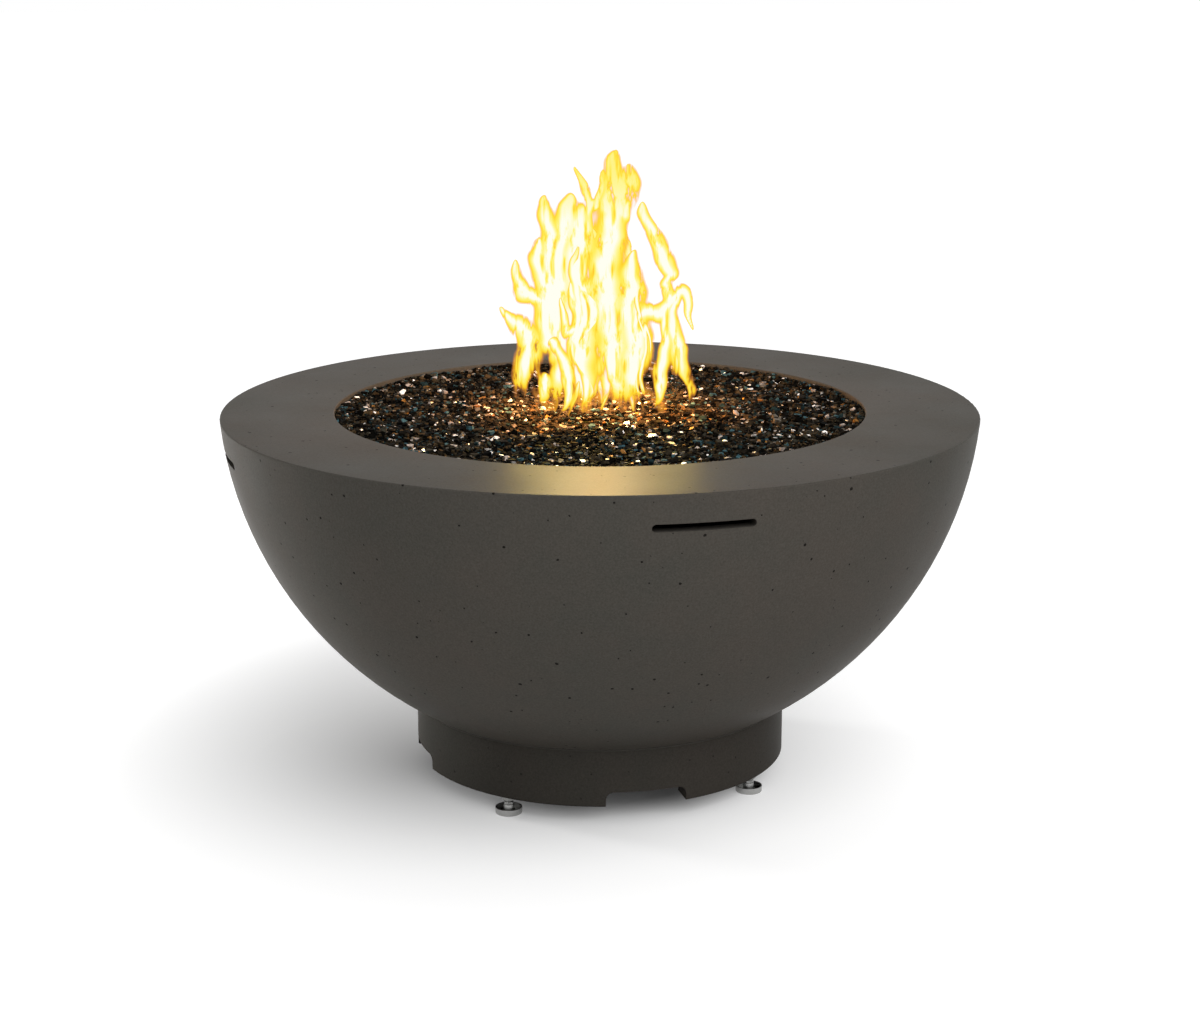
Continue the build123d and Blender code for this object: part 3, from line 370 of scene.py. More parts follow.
class FIREBOWL_OT_concrete(bpy.types.Operator):
    """Finish the bowl, its base ring and the joint between them"""

    bl_idname = "firebowl.concrete"
    bl_label = "Concrete"

    def execute(self, context):
        look = settings().concrete
        paint(concrete_finish("bowl_concrete", look, BOWL_DEPTH, BOWL_PORE_SHADE), "bowl_shell")
        paint(concrete_finish("base_concrete", look, BASE_SHADED_DEPTH, BASE_PORE_SHADE), "base_ring")
        mastic = Finish("bedding_mastic")
        shade = mastic.ramp(mastic.noise(60.0), MASTIC_TONES)
        relief = mastic.bump(mastic.noise(300.0), MASTIC_RELIEF, strength=0.5)
        mastic.set(Base_Color=shade, Roughness=0.8, Normal=relief)
        paint(mastic, "bedding_ring")
        return {"FINISHED"}


BED_TONES, BED_RELIEF = [(0.4, (0.003, 0.003, 0.003)), (0.7, (0.02, 0.015, 0.010))], 0.004


def glass_bed_finish():
    """Dark bed under the loose shards."""
    finish = Finish("glass_bed")
    shade = finish.ramp(finish.noise(160.0, detail=3.0), BED_TONES)
    relief = finish.bump(finish.noise(180.0, detail=3.0), BED_RELIEF, strength=0.8)
    finish.set(Base_Color=shade, Roughness=0.6, Specular_IOR_Level=0.1, Normal=relief)
    return finish


# Each tone begins at a shard's draw from 0 to 1. The teal tones are painted reflections, the pale tones from
# 0.945 are painted glints and the last orange tone is painted flame light.
SHARD_TONES = [
    (0.00, (0.0027, 0.0025, 0.0021)), (0.30, (0.0090, 0.0078, 0.0060)), (0.50, (0.022, 0.0174, 0.0112)),
    (0.67, (0.044, 0.029, 0.0145)), (0.77, (0.034, 0.031, 0.023)), (0.82, (0.010, 0.020, 0.022)),
    (0.87, (0.035, 0.075, 0.088)), (0.91, (0.10, 0.085, 0.066)), (0.945, (0.33, 0.27, 0.23)),
    (0.97, (0.85, 0.78, 0.72)), (0.988, (0.20, 0.09, 0.022)),
]
SHARD_GLOSS, SHARD_ROUGHNESS = 0.0009, (0.20, 0.36)
SHARD_CLOUDS, CLOUD_SHADES = (0.35, 0.65), (0.86, 2.06)
MIRROR_DRAWS, MIRROR_MOST = (0.90, 0.97), 0.45


def shard_finish():
    """Crushed glass: near black, brown and olive shards, teal ones as painted reflections, pale ones as
    painted glints and orange ones as painted flame light, one tone for each shard.
    """
    finish = Finish("crushed_glass")
    draw = finish.add("ShaderNodeAttribute", attribute_name="shard_draw").outputs["Fac"]
    tone = finish.ramp(draw, SHARD_TONES, "CONSTANT")
    cloud = finish.span(finish.noise(240.0, detail=2.0), *SHARD_CLOUDS, *CLOUD_SHADES)
    mirror = finish.span(draw, *MIRROR_DRAWS, 0.0, MIRROR_MOST)
    rough = finish.span(draw, 0.0, 1.0, *SHARD_ROUGHNESS)
    tone = finish.vector("SCALE", tone, cloud)
    finish.set(Base_Color=tone, Metallic=mirror, Roughness=rough, Specular_IOR_Level=SHARD_GLOSS)
    return finish


def turn_matrices(yaw, tilt, lean):
    """Turns as an array of 3 by 3 matrices: yaw about Z after a tilt about a level axis at the lean angle."""
    axis = np.stack([np.cos(lean), np.sin(lean), np.zeros_like(lean)], -1)
    cross = np.zeros((len(lean), 3, 3))
    cross[:, 0, 2], cross[:, 1, 2] = axis[:, 1], -axis[:, 0]
    cross[:, 2, 0], cross[:, 2, 1] = -axis[:, 1], axis[:, 0]
    tilted = np.eye(3) + np.sin(tilt)[:, None, None] * cross
    tilted = tilted + (1 - np.cos(tilt))[:, None, None] * (cross @ cross)
    spin = np.zeros((len(yaw), 3, 3))
    spin[:, 0, 0] = spin[:, 1, 1] = np.cos(yaw)
    spin[:, 0, 1], spin[:, 1, 0] = -np.sin(yaw), np.sin(yaw)
    spin[:, 2, 2] = 1.0
    return tilted @ spin


SHARD_SIDES, CORNER_JITTER, CORNER_REACH = 5, 0.32, (0.55, 1.0)
SHARD_STRETCH, SHARD_SHRINK, SHARD_SHIFT = (0.7, 1.35), (0.6, 1.05), 0.18
SHARD_HALF, SHARD_UNEVEN = (0.22, 0.42), (0.75, 1.25)


def shard_forms(draw, radius):
    """Irregular slabs: a five-sided outline at jittered angles and radii, above and below a level middle.

    Corner k has the angle (k + jitter) / 5 of a turn and a share of the radius, and the lower outline is
    the upper one shrunk and shifted a little, a thickness below.
    """
    count = len(radius)
    jitter = draw.uniform(-CORNER_JITTER, CORNER_JITTER, (count, SHARD_SIDES))
    corner = (np.arange(SHARD_SIDES) + jitter) / SHARD_SIDES * FULL_TURN
    reach = radius[:, None] * draw.uniform(*CORNER_REACH, (count, SHARD_SIDES))
    stretch = draw.uniform(*SHARD_STRETCH, (count, 1))
    upper = np.stack([reach * np.cos(corner) * stretch, reach * np.sin(corner), np.zeros_like(reach)], -1)
    shrink = draw.uniform(*SHARD_SHRINK, (count, 1, 1))
    shift = draw.uniform(-SHARD_SHIFT, SHARD_SHIFT, (count, 1, 3))
    lower = upper * shrink + shift * radius[:, None, None]
    half = radius * draw.uniform(*SHARD_HALF, count)
    upper[:, :, 2] += half[:, None] * draw.uniform(*SHARD_UNEVEN, (count, SHARD_SIDES))
    lower[:, :, 2] -= half[:, None]
    return np.concatenate([lower, upper], 1)


def shard_faces(count):
    """Corner numbers of the slabs: the sides of each, and a lower and an upper outline."""
    step = np.arange(SHARD_SIDES)
    after = (step + 1) % SHARD_SIDES
    sides = np.stack([step, after, after + SHARD_SIDES, step + SHARD_SIDES], -1)
    caps = np.stack([step[::-1], step + SHARD_SIDES])
    start = (np.arange(count) * 2 * SHARD_SIDES)[:, None, None]
    return (start + sides).reshape(-1, 4), (start + caps).reshape(-1, SHARD_SIDES)


GLASS_DROP, GLASS_CROWN, WALL_HEAP, WALL_REACH = 0.011, 0.003, 0.006, 0.035
LUMP_PITCH, LUMP_RISE, LUMP_TURN, LUMP_WEDGES = 0.057, 0.006, math.radians(137.5), 6


def bed_level(places):
    """Top of the bed at level places: a shallow crown, less the drop of its lumps.

    Ring k of the lumps has 6 k points, k pitches from the axis, and point n drops by (1 - cos(n turn)) / 2 of
    the rise. Between neighbouring points and neighbouring rings the drop changes evenly.
    """
    distance, angle = np.hypot(*places.T), np.arctan2(places[:, 1], places[:, 0])
    rings, start = [], 0
    for ring in range(int(BED_RADIUS / LUMP_PITCH) + 3):
        numbers = np.arange(max(LUMP_WEDGES * ring, 1))
        drops = (1 - np.cos((start + numbers) * LUMP_TURN)) / 2
        rings.append(np.interp(angle, numbers * FULL_TURN / len(numbers), drops, period=FULL_TURN))
        start += len(numbers)
    rings, every = np.array(rings), np.arange(len(places))
    inner = (distance / LUMP_PITCH).astype(int)
    part = distance / LUMP_PITCH - inner
    drop = rings[inner, every] * (1 - part) + rings[inner + 1, every] * part
    crown = GLASS_CROWN * (1 - (distance / BED_RADIUS) ** 2)
    return RIM_TOP - GLASS_DROP + crown - LUMP_RISE * drop


PLACE_JITTER, ROW_SPARE = 0.45, 1.2


def shard_places(draw, look):
    """Level places of the shards: a three-way grid with jitter, over the opening and just past its wall."""
    reach = int(BED_RADIUS / look.spacing)
    steps = np.arange(-reach - 2, reach + 3)
    row_reach = int(ROW_SPARE * len(steps) / 2)
    column, row = np.meshgrid(steps, np.arange(-row_reach, row_reach + 1))
    across = (column + row % 2 / 2) * look.spacing
    ahead = row * look.spacing * math.sqrt(0.75)
    flat = np.stack([across, ahead], -1).reshape(-1, 2)
    flat = flat + draw.uniform(-PLACE_JITTER, PLACE_JITTER, flat.shape) * look.spacing
    return flat[np.hypot(*flat.T) < BED_RADIUS + look.spacing]


SIZE_SPREAD, SIZE_LIMITS, WALL_CLEAR, RIM_CLEAR = 0.38, (0.5, 2.6), 1.15, 0.001
TILT_SPREAD, TILT_MOST, PERCH = 0.50, 1.25, (-0.2, 0.6)
# Draws from this one on give the pale tones of painted glints.
GLINT_TONES_FROM, GLINT_TONES_DROP, GLASS_PIECES = 0.94, 0.45, 4


def scattered_shards(draw, look):
    """Shards on the bed: the points of each, its place and the draw of its tone.

    Sizes have a log-normal spread. Each shard is drawn in until it clears the wall, turned and tilted by
    chance, and set on the bed, which is heaped a little at the wall. Small shards never take the pale tones
    of the painted glints.
    """
    places = shard_places(draw, look)
    count = len(places)
    radius = look.size * np.exp(draw.normal(0.0, SIZE_SPREAD, count)).clip(*SIZE_LIMITS)
    distance = np.maximum(np.hypot(*places.T), 1e-6)
    places = places * np.minimum(1.0, (BED_RADIUS - WALL_CLEAR * radius) / distance)[:, None]
    tilt = np.abs(draw.normal(0.0, TILT_SPREAD, count)).clip(0.0, TILT_MOST)
    yaw = draw.uniform(0, FULL_TURN, count)
    lean = draw.uniform(0, FULL_TURN, count)
    forms = shard_forms(draw, radius)
    lift = bed_level(places) + draw.uniform(*PERCH, count) * radius
    lift = lift + WALL_HEAP * eased(np.hypot(*places.T), BED_RADIUS - WALL_REACH, BED_RADIUS)
    points = np.einsum("nij,nkj->nki", turn_matrices(yaw, tilt, lean), forms)
    points += np.column_stack([places, lift])[:, None, :]
    points[:, :, 2] = np.minimum(points[:, :, 2], RIM_TOP - RIM_CLEAR)
    tone = draw.uniform(0.0, 1.0, count)
    # Small shards are kept from the painted glint tones.
    kept_from_glints = (tone > GLINT_TONES_FROM) & (radius < look.size)
    return points, places, np.where(kept_from_glints, tone - GLINT_TONES_DROP, tone)


class FIREBOWL_OT_glass(bpy.types.Operator):
    """Scatter loose shards on the glass bed"""

    bl_idname = "firebowl.glass"
    bl_label = "Crushed glass"

    def execute(self, context):
        look = settings().glass
        paint(glass_bed_finish(), "fire_glass")
        points, places, tone = scattered_shards(np.random.default_rng(look.seed), look)
        finish = shard_finish()
        turn = np.arctan2(places[:, 1], places[:, 0]) / FULL_TURN + 0.5
        sector = (turn * GLASS_PIECES).astype(int).clip(0, GLASS_PIECES - 1)
        for number in range(GLASS_PIECES):
            chosen = points[sector == number]
            piece = new_piece(f"glass_shards_{number + 1}", chosen.reshape(-1, 3), shard_faces(len(chosen)),
                              finish, smooth=False)
            add_values(piece, "shard_draw", np.repeat(tone[sector == number], 2 * SHARD_SIDES))
            ride_on(piece, "bowl", "crushed_glass")
        return {"FINISHED"}


# Tone and roughness of each metal or plastic, by the name of its finish.
METALS = {
    "polished_steel": ((0.42, 0.42, 0.41), 0.36),
    "zinc_steel": ((0.30, 0.30, 0.29), 0.36),
    "stainless": ((0.52, 0.51, 0.49), 0.36),
    "black_pipe": ((0.05, 0.05, 0.05), 0.55),
    "pan_nut_steel": ((0.55, 0.55, 0.54), 0.34),
    "brass": ((0.72, 0.50, 0.22), 0.30),
    "hanger_steel": ((0.55, 0.55, 0.54), 0.34),
    "chrome_ball": ((0.75, 0.75, 0.75), 0.12),
    "seat_polymer": ((0.80, 0.80, 0.78), 0.5),
    "vinyl_grip": ((0.75, 0.45, 0.03), 0.4),
    "hose_steel": ((0.60, 0.60, 0.59), 0.30),
}
DRAWN_GRAIN, TURNED_GRAIN = (900.0, 900.0, 60.0), (60.0, 60.0, 900.0)
GLOSS_SPREAD, GRAIN_RELIEF, STAIN_SHADES = 0.10, 0.00004, (0.86, 1.06)


def metal_finish(name, grain_scale=DRAWN_GRAIN, metallic=1.0):
    """Worked metal or plastic: an even tone with fine grain in its gloss and a faint stain."""
    finish = Finish(name)
    colour, roughness = METALS[name]
    stain = finish.span(finish.noise(40.0, detail=4.0), *CLOUD_SPAN, *STAIN_SHADES)
    grain = finish.noise(1.0, detail=3.0, roughness=0.5, vector=finish.stretched(grain_scale))
    rough = finish.span(grain, *CLOUD_SPAN, roughness - GLOSS_SPREAD / 2, roughness + GLOSS_SPREAD / 2)
    tone = finish.vector("SCALE", colour, stain)
    relief = finish.bump(grain, GRAIN_RELIEF, strength=0.4)
    finish.set(Base_Color=tone, Metallic=metallic, Roughness=rough, Normal=relief)
    return finish


FEET = (1, 2, 3, 4)
STUD_RADIUS, STUD_HEX, STUD_HEX_LOW, STUD_HEX_HIGH = 0.006, 0.014, 0.0146, 0.0186
THREAD_PITCH, THREAD_DEPTH, THREAD_CHAMFER = 0.0015, 0.00092, 0.0012
NUT_HEX, NUT_BORE, NUT_CHAMFER, NUT_FACE = 0.019, 0.00608, 0.0007, 0.97
HEX_SLOPE = math.tan(math.radians(30.0))
STUD_SIDES, THREAD_STEPS, NUT_SIDES, NUT_STEPS = 48, 6, 72, 7


def hex_reach(angle, across_flats):
    """Distance from a hexagon's middle to its side, at an angle from one of its corners."""
    sector = FULL_TURN / 6
    return across_flats / 2 / np.cos(angle % sector - sector / 2)


def stud_surface(low, high, corner):
    """Screwed stud about its own axis: distance from the axis as a function of height and angle.

    The shank is plain up to the hexagon, whose ends are turned to its flats. Above it, the thread's
    groove is a triangle wave of height / pitch - angle / turn, and the tip is chamfered.
    """
    angle = np.linspace(0, FULL_TURN, STUD_SIDES, endpoint=False)[None, :]
    shank = np.array([low, STUD_HEX_LOW])[:, None]
    chamfers = [STUD_HEX_LOW + NUT_CHAMFER, STUD_HEX_HIGH - NUT_CHAMFER]
    hexagon = np.array([STUD_HEX_LOW, *chamfers, STUD_HEX_HIGH])[:, None]
    rows = int(THREAD_STEPS * (high - STUD_HEX_HIGH) / THREAD_PITCH)
    thread = np.linspace(STUD_HEX_HIGH, high, rows)[:, None]
    turned = np.array([STUD_HEX / 2, STUD_HEX, STUD_HEX, STUD_HEX / 2])[:, None]
    wave = np.abs(2 * ((thread / THREAD_PITCH - angle / FULL_TURN) % 1) - 1)
    groove = STUD_RADIUS - THREAD_DEPTH * wave * np.clip((high - thread) / THREAD_PITCH, 0, 1)
    tip = STUD_RADIUS - THREAD_CHAMFER + np.maximum(high - thread, 0)
    plain = STUD_RADIUS + 0 * (shank + angle)
    sides = np.minimum(hex_reach(angle - corner, STUD_HEX), turned)
    reach = np.concatenate([plain, sides, np.minimum(groove, tip)])
    return around_axis(reach, angle, np.concatenate([shank, hexagon, thread]))


def nut_surface(low, high, corner):
    """Hexagon nut about its own axis: a closed profile round the bore, bottom, side and top, carried round.

    The side is the hexagon, or the 30 degree cone of the chamfer where that is nearer to the axis.
    """
    angle = np.linspace(0, FULL_TURN, NUT_SIDES, endpoint=False)[None, :]
    rise = np.linspace(0, (high - low) / 2, NUT_STEPS)[:, None]
    cone = NUT_HEX / 2 * NUT_FACE + rise / HEX_SLOPE
    side = np.minimum(hex_reach(angle - corner, NUT_HEX), cone)
    bore = np.array([[NUT_BORE], [NUT_BORE + NUT_CHAMFER]]) + 0 * angle
    reach = np.concatenate([bore, side, side[-2::-1], bore[::-1]])
    below, above = [[low + NUT_CHAMFER], [low]], [[high], [high - NUT_CHAMFER]]
    return around_axis(reach, angle, np.concatenate([below, low + rise, high - rise[-2::-1], above]))


class FIREBOWL_OT_feet(bpy.types.Operator):
    """Make the threaded studs and the nuts, and finish the levelling feet"""

    bl_idname = "firebowl.feet"
    bl_label = "Levelling feet"

    def execute(self, context):
        polished, plated = metal_finish("polished_steel", TURNED_GRAIN), metal_finish("zinc_steel")
        paint(polished, *[f"foot_pad_{number}" for number in FEET])
        paint(plated, "foot_inserts")
        nut_low, nut_high = (corner.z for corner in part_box("jam_nuts"))
        nuts = []
        for number in FEET:
            low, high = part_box(f"foot_stud_{number}")
            centre = np.array([(low.x + high.x) / 2, (low.y + high.y) / 2, 0.0])
            corner = math.atan2(centre[1], centre[0]) - math.pi / 2
            stud = stud_surface(low.z, high.z, corner)
            piece = new_piece(f"threaded_stud_{number}", stud.reshape(-1, 3) + centre,
                              tube_faces(*stud.shape[:2]), polished, smooth=False)
            ride_on(piece, f"stud_{number}", "polished_steel", f"foot_stud_{number}")
            nuts.append(nut_surface(nut_low, nut_high, corner) + centre)
        ring = grid_faces(*nuts[0].shape[:2], closed_rows=True, closed_columns=True)
        nuts = joined([nut.reshape(-1, 3) for nut in nuts], [ring] * len(nuts))
        piece = new_piece("chamfered_jam_nuts", *nuts, plated, smooth=False)
        ride_on(piece, "bowl", "zinc_steel", "jam_nuts")
        return {"FINISHED"}


class FIREBOWL_OT_burner(bpy.types.Operator):
    """Finish the pan, the burner and its pipe"""

    bl_idname = "firebowl.burner"
    bl_label = "Burner"

    def execute(self, context):
        paint(metal_finish("stainless"), "burner_pan", "ring_burner", "burner_hub")
        paint(metal_finish("black_pipe"), "burner_nipple")
        paint(metal_finish("pan_nut_steel"), "pan_lock_nuts")
        return {"FINISHED"}


HOSE_ROUTE = ((0.0, 0.17392, 0.035), (0.0, 0.0, 0.035), (0.0, 0.0, 0.20892), (0.0, 0.0, 0.39003))
HOSE_LENGTH, HOSE_DIAMETER, HOSE_CUFF, HOSE_EASE = 0.473, 0.016, 0.022, 0.2
HOSE_WAVE, HOSE_WAVE_DEPTH, WAVE_STEPS, HOSE_SIDES = 0.0045, 0.0016, 6, 24
ROUTE_ORDER, ROUTE_STEPS = 3, 48


def route_points(route):
    """Points of a smooth line, read from a NURBS spline with the route as its control points."""
    curve = bpy.data.curves.new("hose_line", "CURVE")
    curve.dimensions = "3D"
    line = curve.splines.new("NURBS")
    line.points.add(len(route) - 1)
    line.points.foreach_set("co", np.column_stack([route, np.ones(len(route))]).ravel())
    line.order_u = ROUTE_ORDER
    line.use_endpoint_u = True
    line.resolution_u = ROUTE_STEPS
    holder = bpy.data.objects.new("hose_line", curve)
    mesh = bpy.data.meshes.new_from_object(holder)
    points = np.zeros(len(mesh.vertices) * 3)
    mesh.vertices.foreach_get("co", points)
    bpy.data.meshes.remove(mesh)
    bpy.data.objects.remove(holder)
    bpy.data.curves.remove(curve)
    return points.reshape(-1, 3)


def hose_surface(points):
    """Corrugated tube along a line in the plane of Y and Z: its radius waves between plain cuffs.

    place(along, angle) = line(along) + radius(along) (X cos(angle) + side sin(angle)), where side is square
    to X and to the line, and radius(along) = full radius - depth (1 - cos(turn along / wave)) / 2.
    """
    steps = np.linalg.norm(np.diff(points, axis=0), axis=1)
    reached = np.concatenate([[0.0], np.cumsum(steps)])
    length = reached[-1]
    along = np.linspace(0, length, int(WAVE_STEPS * length / HOSE_WAVE))
    line = np.stack([np.interp(along, reached, points[:, axis]) for axis in range(3)], -1)
    ahead = np.gradient(line, along, axis=0)
    ahead = ahead / np.linalg.norm(ahead, axis=1, keepdims=True)
    side = np.cross(ahead, X_AXIS)
    inside = np.clip(np.minimum(along, length - along) / HOSE_CUFF - 1, 0, HOSE_EASE) / HOSE_EASE
    radius = HOSE_DIAMETER / 2 - HOSE_WAVE_DEPTH * inside * (1 - np.cos(FULL_TURN * along / HOSE_WAVE)) / 2
    angle = np.linspace(0, FULL_TURN, HOSE_SIDES, endpoint=False)[None, :, None]
    across = np.array(X_AXIS) * np.cos(angle) + side[:, None, :] * np.sin(angle)
    return line[:, None, :] + radius[:, None, None] * across


class FIREBOWL_OT_gas_train(bpy.types.Operator):
    """Make the corrugated hose, and finish the mixer, valve and inlet"""

    bl_idname = "firebowl.gas_train"
    bl_label = "Gas train"

    def execute(self, context):
        paint(metal_finish("brass"), "air_mixer", "air_shutter", "shutter_screw", "gas_orifice", "hose_nuts",
              "valve_body", "gland_nut", "inlet_fitting", "inlet_lock_nut")
        paint(metal_finish("hanger_steel"), "lever_nut", "valve_bracket", "bracket_screws", "valve_lever")
        paint(metal_finish("chrome_ball"), "valve_ball", "valve_stem")
        paint(metal_finish("seat_polymer", metallic=0.0), "valve_seats")
        paint(metal_finish("vinyl_grip", metallic=0.0), "lever_grip")
        points = route_points(HOSE_ROUTE)
        hose = hose_surface(points)
        piece = new_piece("corrugated_hose", hose.reshape(-1, 3), tube_faces(*hose.shape[:2]),
                          metal_finish("hose_steel"))
        ride_on(piece, "bowl", "hose_steel", "flex_hose")
        return {"FINISHED"}


# Each tongue of the flame is its half width and the points of its spine, as level and height.
FLAME_TONGUES = (
    (0.031, ((0.019, 0.600), (0.019, 0.717), (0.008, 0.803), (0.013, 0.868), (0.024, 0.923), (0.037, 0.990))),
    (0.020, ((0.014, 0.925), (0.021, 0.968), (0.027, 1.020))),
    (0.018, ((0.040, 0.925), (0.044, 0.962), (0.048, 1.002))),
    (0.035, ((-0.029, 0.600), (-0.034, 0.724), (-0.037, 0.827), (-0.035, 0.880), (-0.028, 0.914),
             (-0.010, 0.942))),
    (0.020, ((-0.060, 0.880), (-0.052, 0.912), (-0.046, 0.946))),
    (0.016, ((-0.077, 0.752), (-0.080, 0.848), (-0.081, 0.889), (-0.085, 0.924), (-0.088, 0.952))),
    (0.019, ((-0.086, 0.717), (-0.086, 0.769), (-0.090, 0.820), (-0.098, 0.851), (-0.098, 0.880))),
    (0.024, ((-0.064, 0.700), (-0.068, 0.760), (-0.066, 0.830), (-0.062, 0.890))),
    (0.014, ((-0.084, 0.783), (-0.107, 0.783), (-0.124, 0.791), (-0.131, 0.815), (-0.133, 0.848))),
    (0.022, ((-0.128, 0.600), (-0.119, 0.655), (-0.114, 0.690), (-0.118, 0.722), (-0.134, 0.745),
             (-0.156, 0.766))),
    (0.018, ((-0.070, 0.600), (-0.064, 0.650), (-0.052, 0.700), (-0.050, 0.760))),
    (0.016, ((-0.100, 0.600), (-0.096, 0.630), (-0.084, 0.668))),
    (0.030, ((0.056, 0.600), (0.056, 0.676), (0.054, 0.734), (0.048, 0.779), (0.049, 0.820), (0.053, 0.862))),
    (0.014, ((0.056, 0.741), (0.076, 0.758), (0.096, 0.762), (0.113, 0.779), (0.128, 0.791),
             (0.140, 0.779), (0.147, 0.734))),
    (0.014, ((0.146, 0.606), (0.138, 0.645), (0.128, 0.686), (0.118, 0.724), (0.118, 0.758), (0.125, 0.790))),
    (0.011, ((0.090, 0.606), (0.095, 0.648), (0.102, 0.683), (0.103, 0.717), (0.105, 0.770))),
    (0.014, ((0.116, 0.824), (0.106, 0.846), (0.091, 0.874), (0.080, 0.894), (0.072, 0.912), (0.067, 0.932))),
    (0.009, ((0.110, 0.784), (0.103, 0.810), (0.110, 0.826))),
    (0.006, ((-0.014, 0.935), (-0.028, 0.968), (-0.037, 0.992))),
    (0.004, ((-0.004, 0.930), (-0.001, 0.958), (0.004, 0.984))),
)
# Each sheet is its turn, its width and height against the tongues, and its place towards its front.
FLAME_SHEETS = ((0.0, 1.0, 1.0, 0.0), (math.radians(45.0), 0.58, 0.76, -0.02),
                (math.radians(135.0), -0.56, 0.74, 0.02))
FLAME_STEP, FLAME_REACH, FLAME_TOP, FLAME_BLEND, LEAST_HEAT = 0.0022, 0.170, 1.035, 9.0, -0.25
SPINE_STEPS, TONGUE_FOOT, TONGUE_GROWTH, TONGUE_GROWN = 90, 0.8, 0.2, 0.3
TONGUE_TAPER, TONGUE_ROUND, TONGUE_TIP = 3.5, 0.75, 0.002
# The sway, ripple, lift and bow of a sheet, each with its wave length.
SWAY, SWAY_WAVE, RIPPLE, RIPPLE_WAVE, RIPPLE_SLANT = 0.0028, 0.083, 0.0009, 0.034, 0.090
LIFT, LIFT_WAVE, BOW, BOW_SWAY, BOW_WAVE = 0.005, 0.061, 0.02, 0.008, 0.16
# How heat falls off towards the top and the feet, and the haze between the feet.
HEAT_CAP, TOP_LOSS, TOP_SPAN = 1.1, 0.66, (0.80, 1.0)
FOOT_SINK, FOOT_LOSS, FOOT_LOW, FOOT_HIGH, FOOT_UNEVEN = 0.004, 0.92, 0.012, 0.075, 5
HAZE, HAZE_TOP_LOSS, HAZE_SIDE_LOSS, HAZE_FOOT_LOSS, HAZE_UNEVEN = 0.06, 0.45, 0.60, 0.35, 3
HAZE_LOW, HAZE_HIGH, HAZE_SIDES = 0.025, 0.085, (0.10, 0.14)


def spline(points, count):
    """Smooth curve through points (Catmull-Rom): cubic runs whose end slopes follow their neighbours."""
    ends = np.concatenate([2 * points[:1] - points[1:2], points, 2 * points[-1:] - points[-2:-1]])
    at = np.linspace(0, len(points) - 1, count)
    run = np.minimum(at.astype(int), len(points) - 2)
    part = (at - run)[:, None]
    before, start, end, after = (ends[run + step] for step in range(4))
    curve = (2 * before - 5 * start + 4 * end - after) * part**2
    curve = curve + (3 * start - before - 3 * end + after) * part**3
    return start + (end - before) * part / 2 + curve / 2


def flame_heat(level, height):
    """Heat over a sheet of flame: 1 on each tongue's spine, 0 at its sides, and neighbours run together.

    A tongue's heat is 1 - distance / half width, at the point of its spine where that is largest, and the
    sheet's heat is their smooth maximum, log(sum(exp(blend heat))) / blend.
    """
    total = np.full(level.shape, math.exp(-FLAME_BLEND))
    for half_width, points in FLAME_TONGUES:
        spine = spline(np.array(points), SPINE_STEPS)
        rise = np.linspace(0, 1, SPINE_STEPS)
        swell = TONGUE_FOOT + TONGUE_GROWTH * np.clip(rise / TONGUE_GROWN, 0, 1)
        width = half_width * swell * (1 - rise**TONGUE_TAPER) ** TONGUE_ROUND + TONGUE_TIP
        apart = np.hypot(level[:, :, None] - spine[:, 0], height[:, :, None] - spine[:, 1])
        total += np.exp(FLAME_BLEND * (1 - (apart / width).min(-1)))
    return np.log(total) / FLAME_BLEND


def cooled(heat, level, height, lift, foot):
    """Heat that is capped towards the top and falls off towards the feet, which a thin haze joins.

    Each fall is a smooth step in height with an uneven edge, and the haze ends at both sides too.
    """
    heat = np.minimum(heat, HEAT_CAP - TOP_LOSS * eased(height, *TOP_SPAN))
    heat = heat - FOOT_LOSS * (1 - eased(height + FOOT_UNEVEN * lift, foot + FOOT_LOW, foot + FOOT_HIGH))
    uneven = height + HAZE_UNEVEN * lift
    haze = HAZE - HAZE_TOP_LOSS * eased(uneven, foot + HAZE_LOW, foot + HAZE_HIGH)
    haze = haze - HAZE_SIDE_LOSS * eased(np.abs(level), *HAZE_SIDES)
    haze = haze - HAZE_FOOT_LOSS * (1 - eased(uneven, foot, foot + HAZE_LOW))
    return np.maximum(heat, haze)


def flame_sheet(turn, wide, tall, towards, draw):
    """One upright sheet of flame, bowed towards its front: its points, faces and heat.

    place(level, height) = level along the sheet + bow(level, height) out of it, where the bow is a parabola
    and a slow wave. The heat is read at places pushed by a sway, a ripple and a lift, so that its edges lick.
    """
    foot = BED_TOP - FOOT_SINK
    columns = np.arange(-FLAME_REACH, FLAME_REACH, FLAME_STEP)
    rows = np.arange(foot, FLAME_TOP, FLAME_STEP)
    level, height = np.meshgrid(columns, rows)
    waves = draw.uniform(0, FULL_TURN, 4)
    push = SWAY * np.sin(FULL_TURN * height / SWAY_WAVE + waves[0])
    push = push + RIPPLE * np.sin(FULL_TURN * (height / RIPPLE_WAVE + level / RIPPLE_SLANT) + waves[1])
    lift = LIFT * np.sin(FULL_TURN * level / LIFT_WAVE + waves[2])
    heat = cooled(flame_heat(level + push, height + lift), level, height, lift, foot)
    bow = towards + BOW * (1 - (level / FLAME_REACH) ** 2)
    bow = bow + BOW_SWAY * np.sin(FULL_TURN * height / BOW_WAVE + waves[3])
    right, front = (math.cos(turn), math.sin(turn)), (math.sin(turn), -math.cos(turn))
    up = foot + (height - foot) * tall
    along = level * wide
    points = np.stack([along * right[0] + bow * front[0], along * right[1] + bow * front[1], up], -1)
    faces = grid_faces(*level.shape)
    faces = faces[heat.ravel()[faces].max(1) > LEAST_HEAT]
    used, corners = np.unique(faces, return_inverse=True)
    return points.reshape(-1, 3)[used], corners.reshape(-1, 4), heat.ravel()[used]


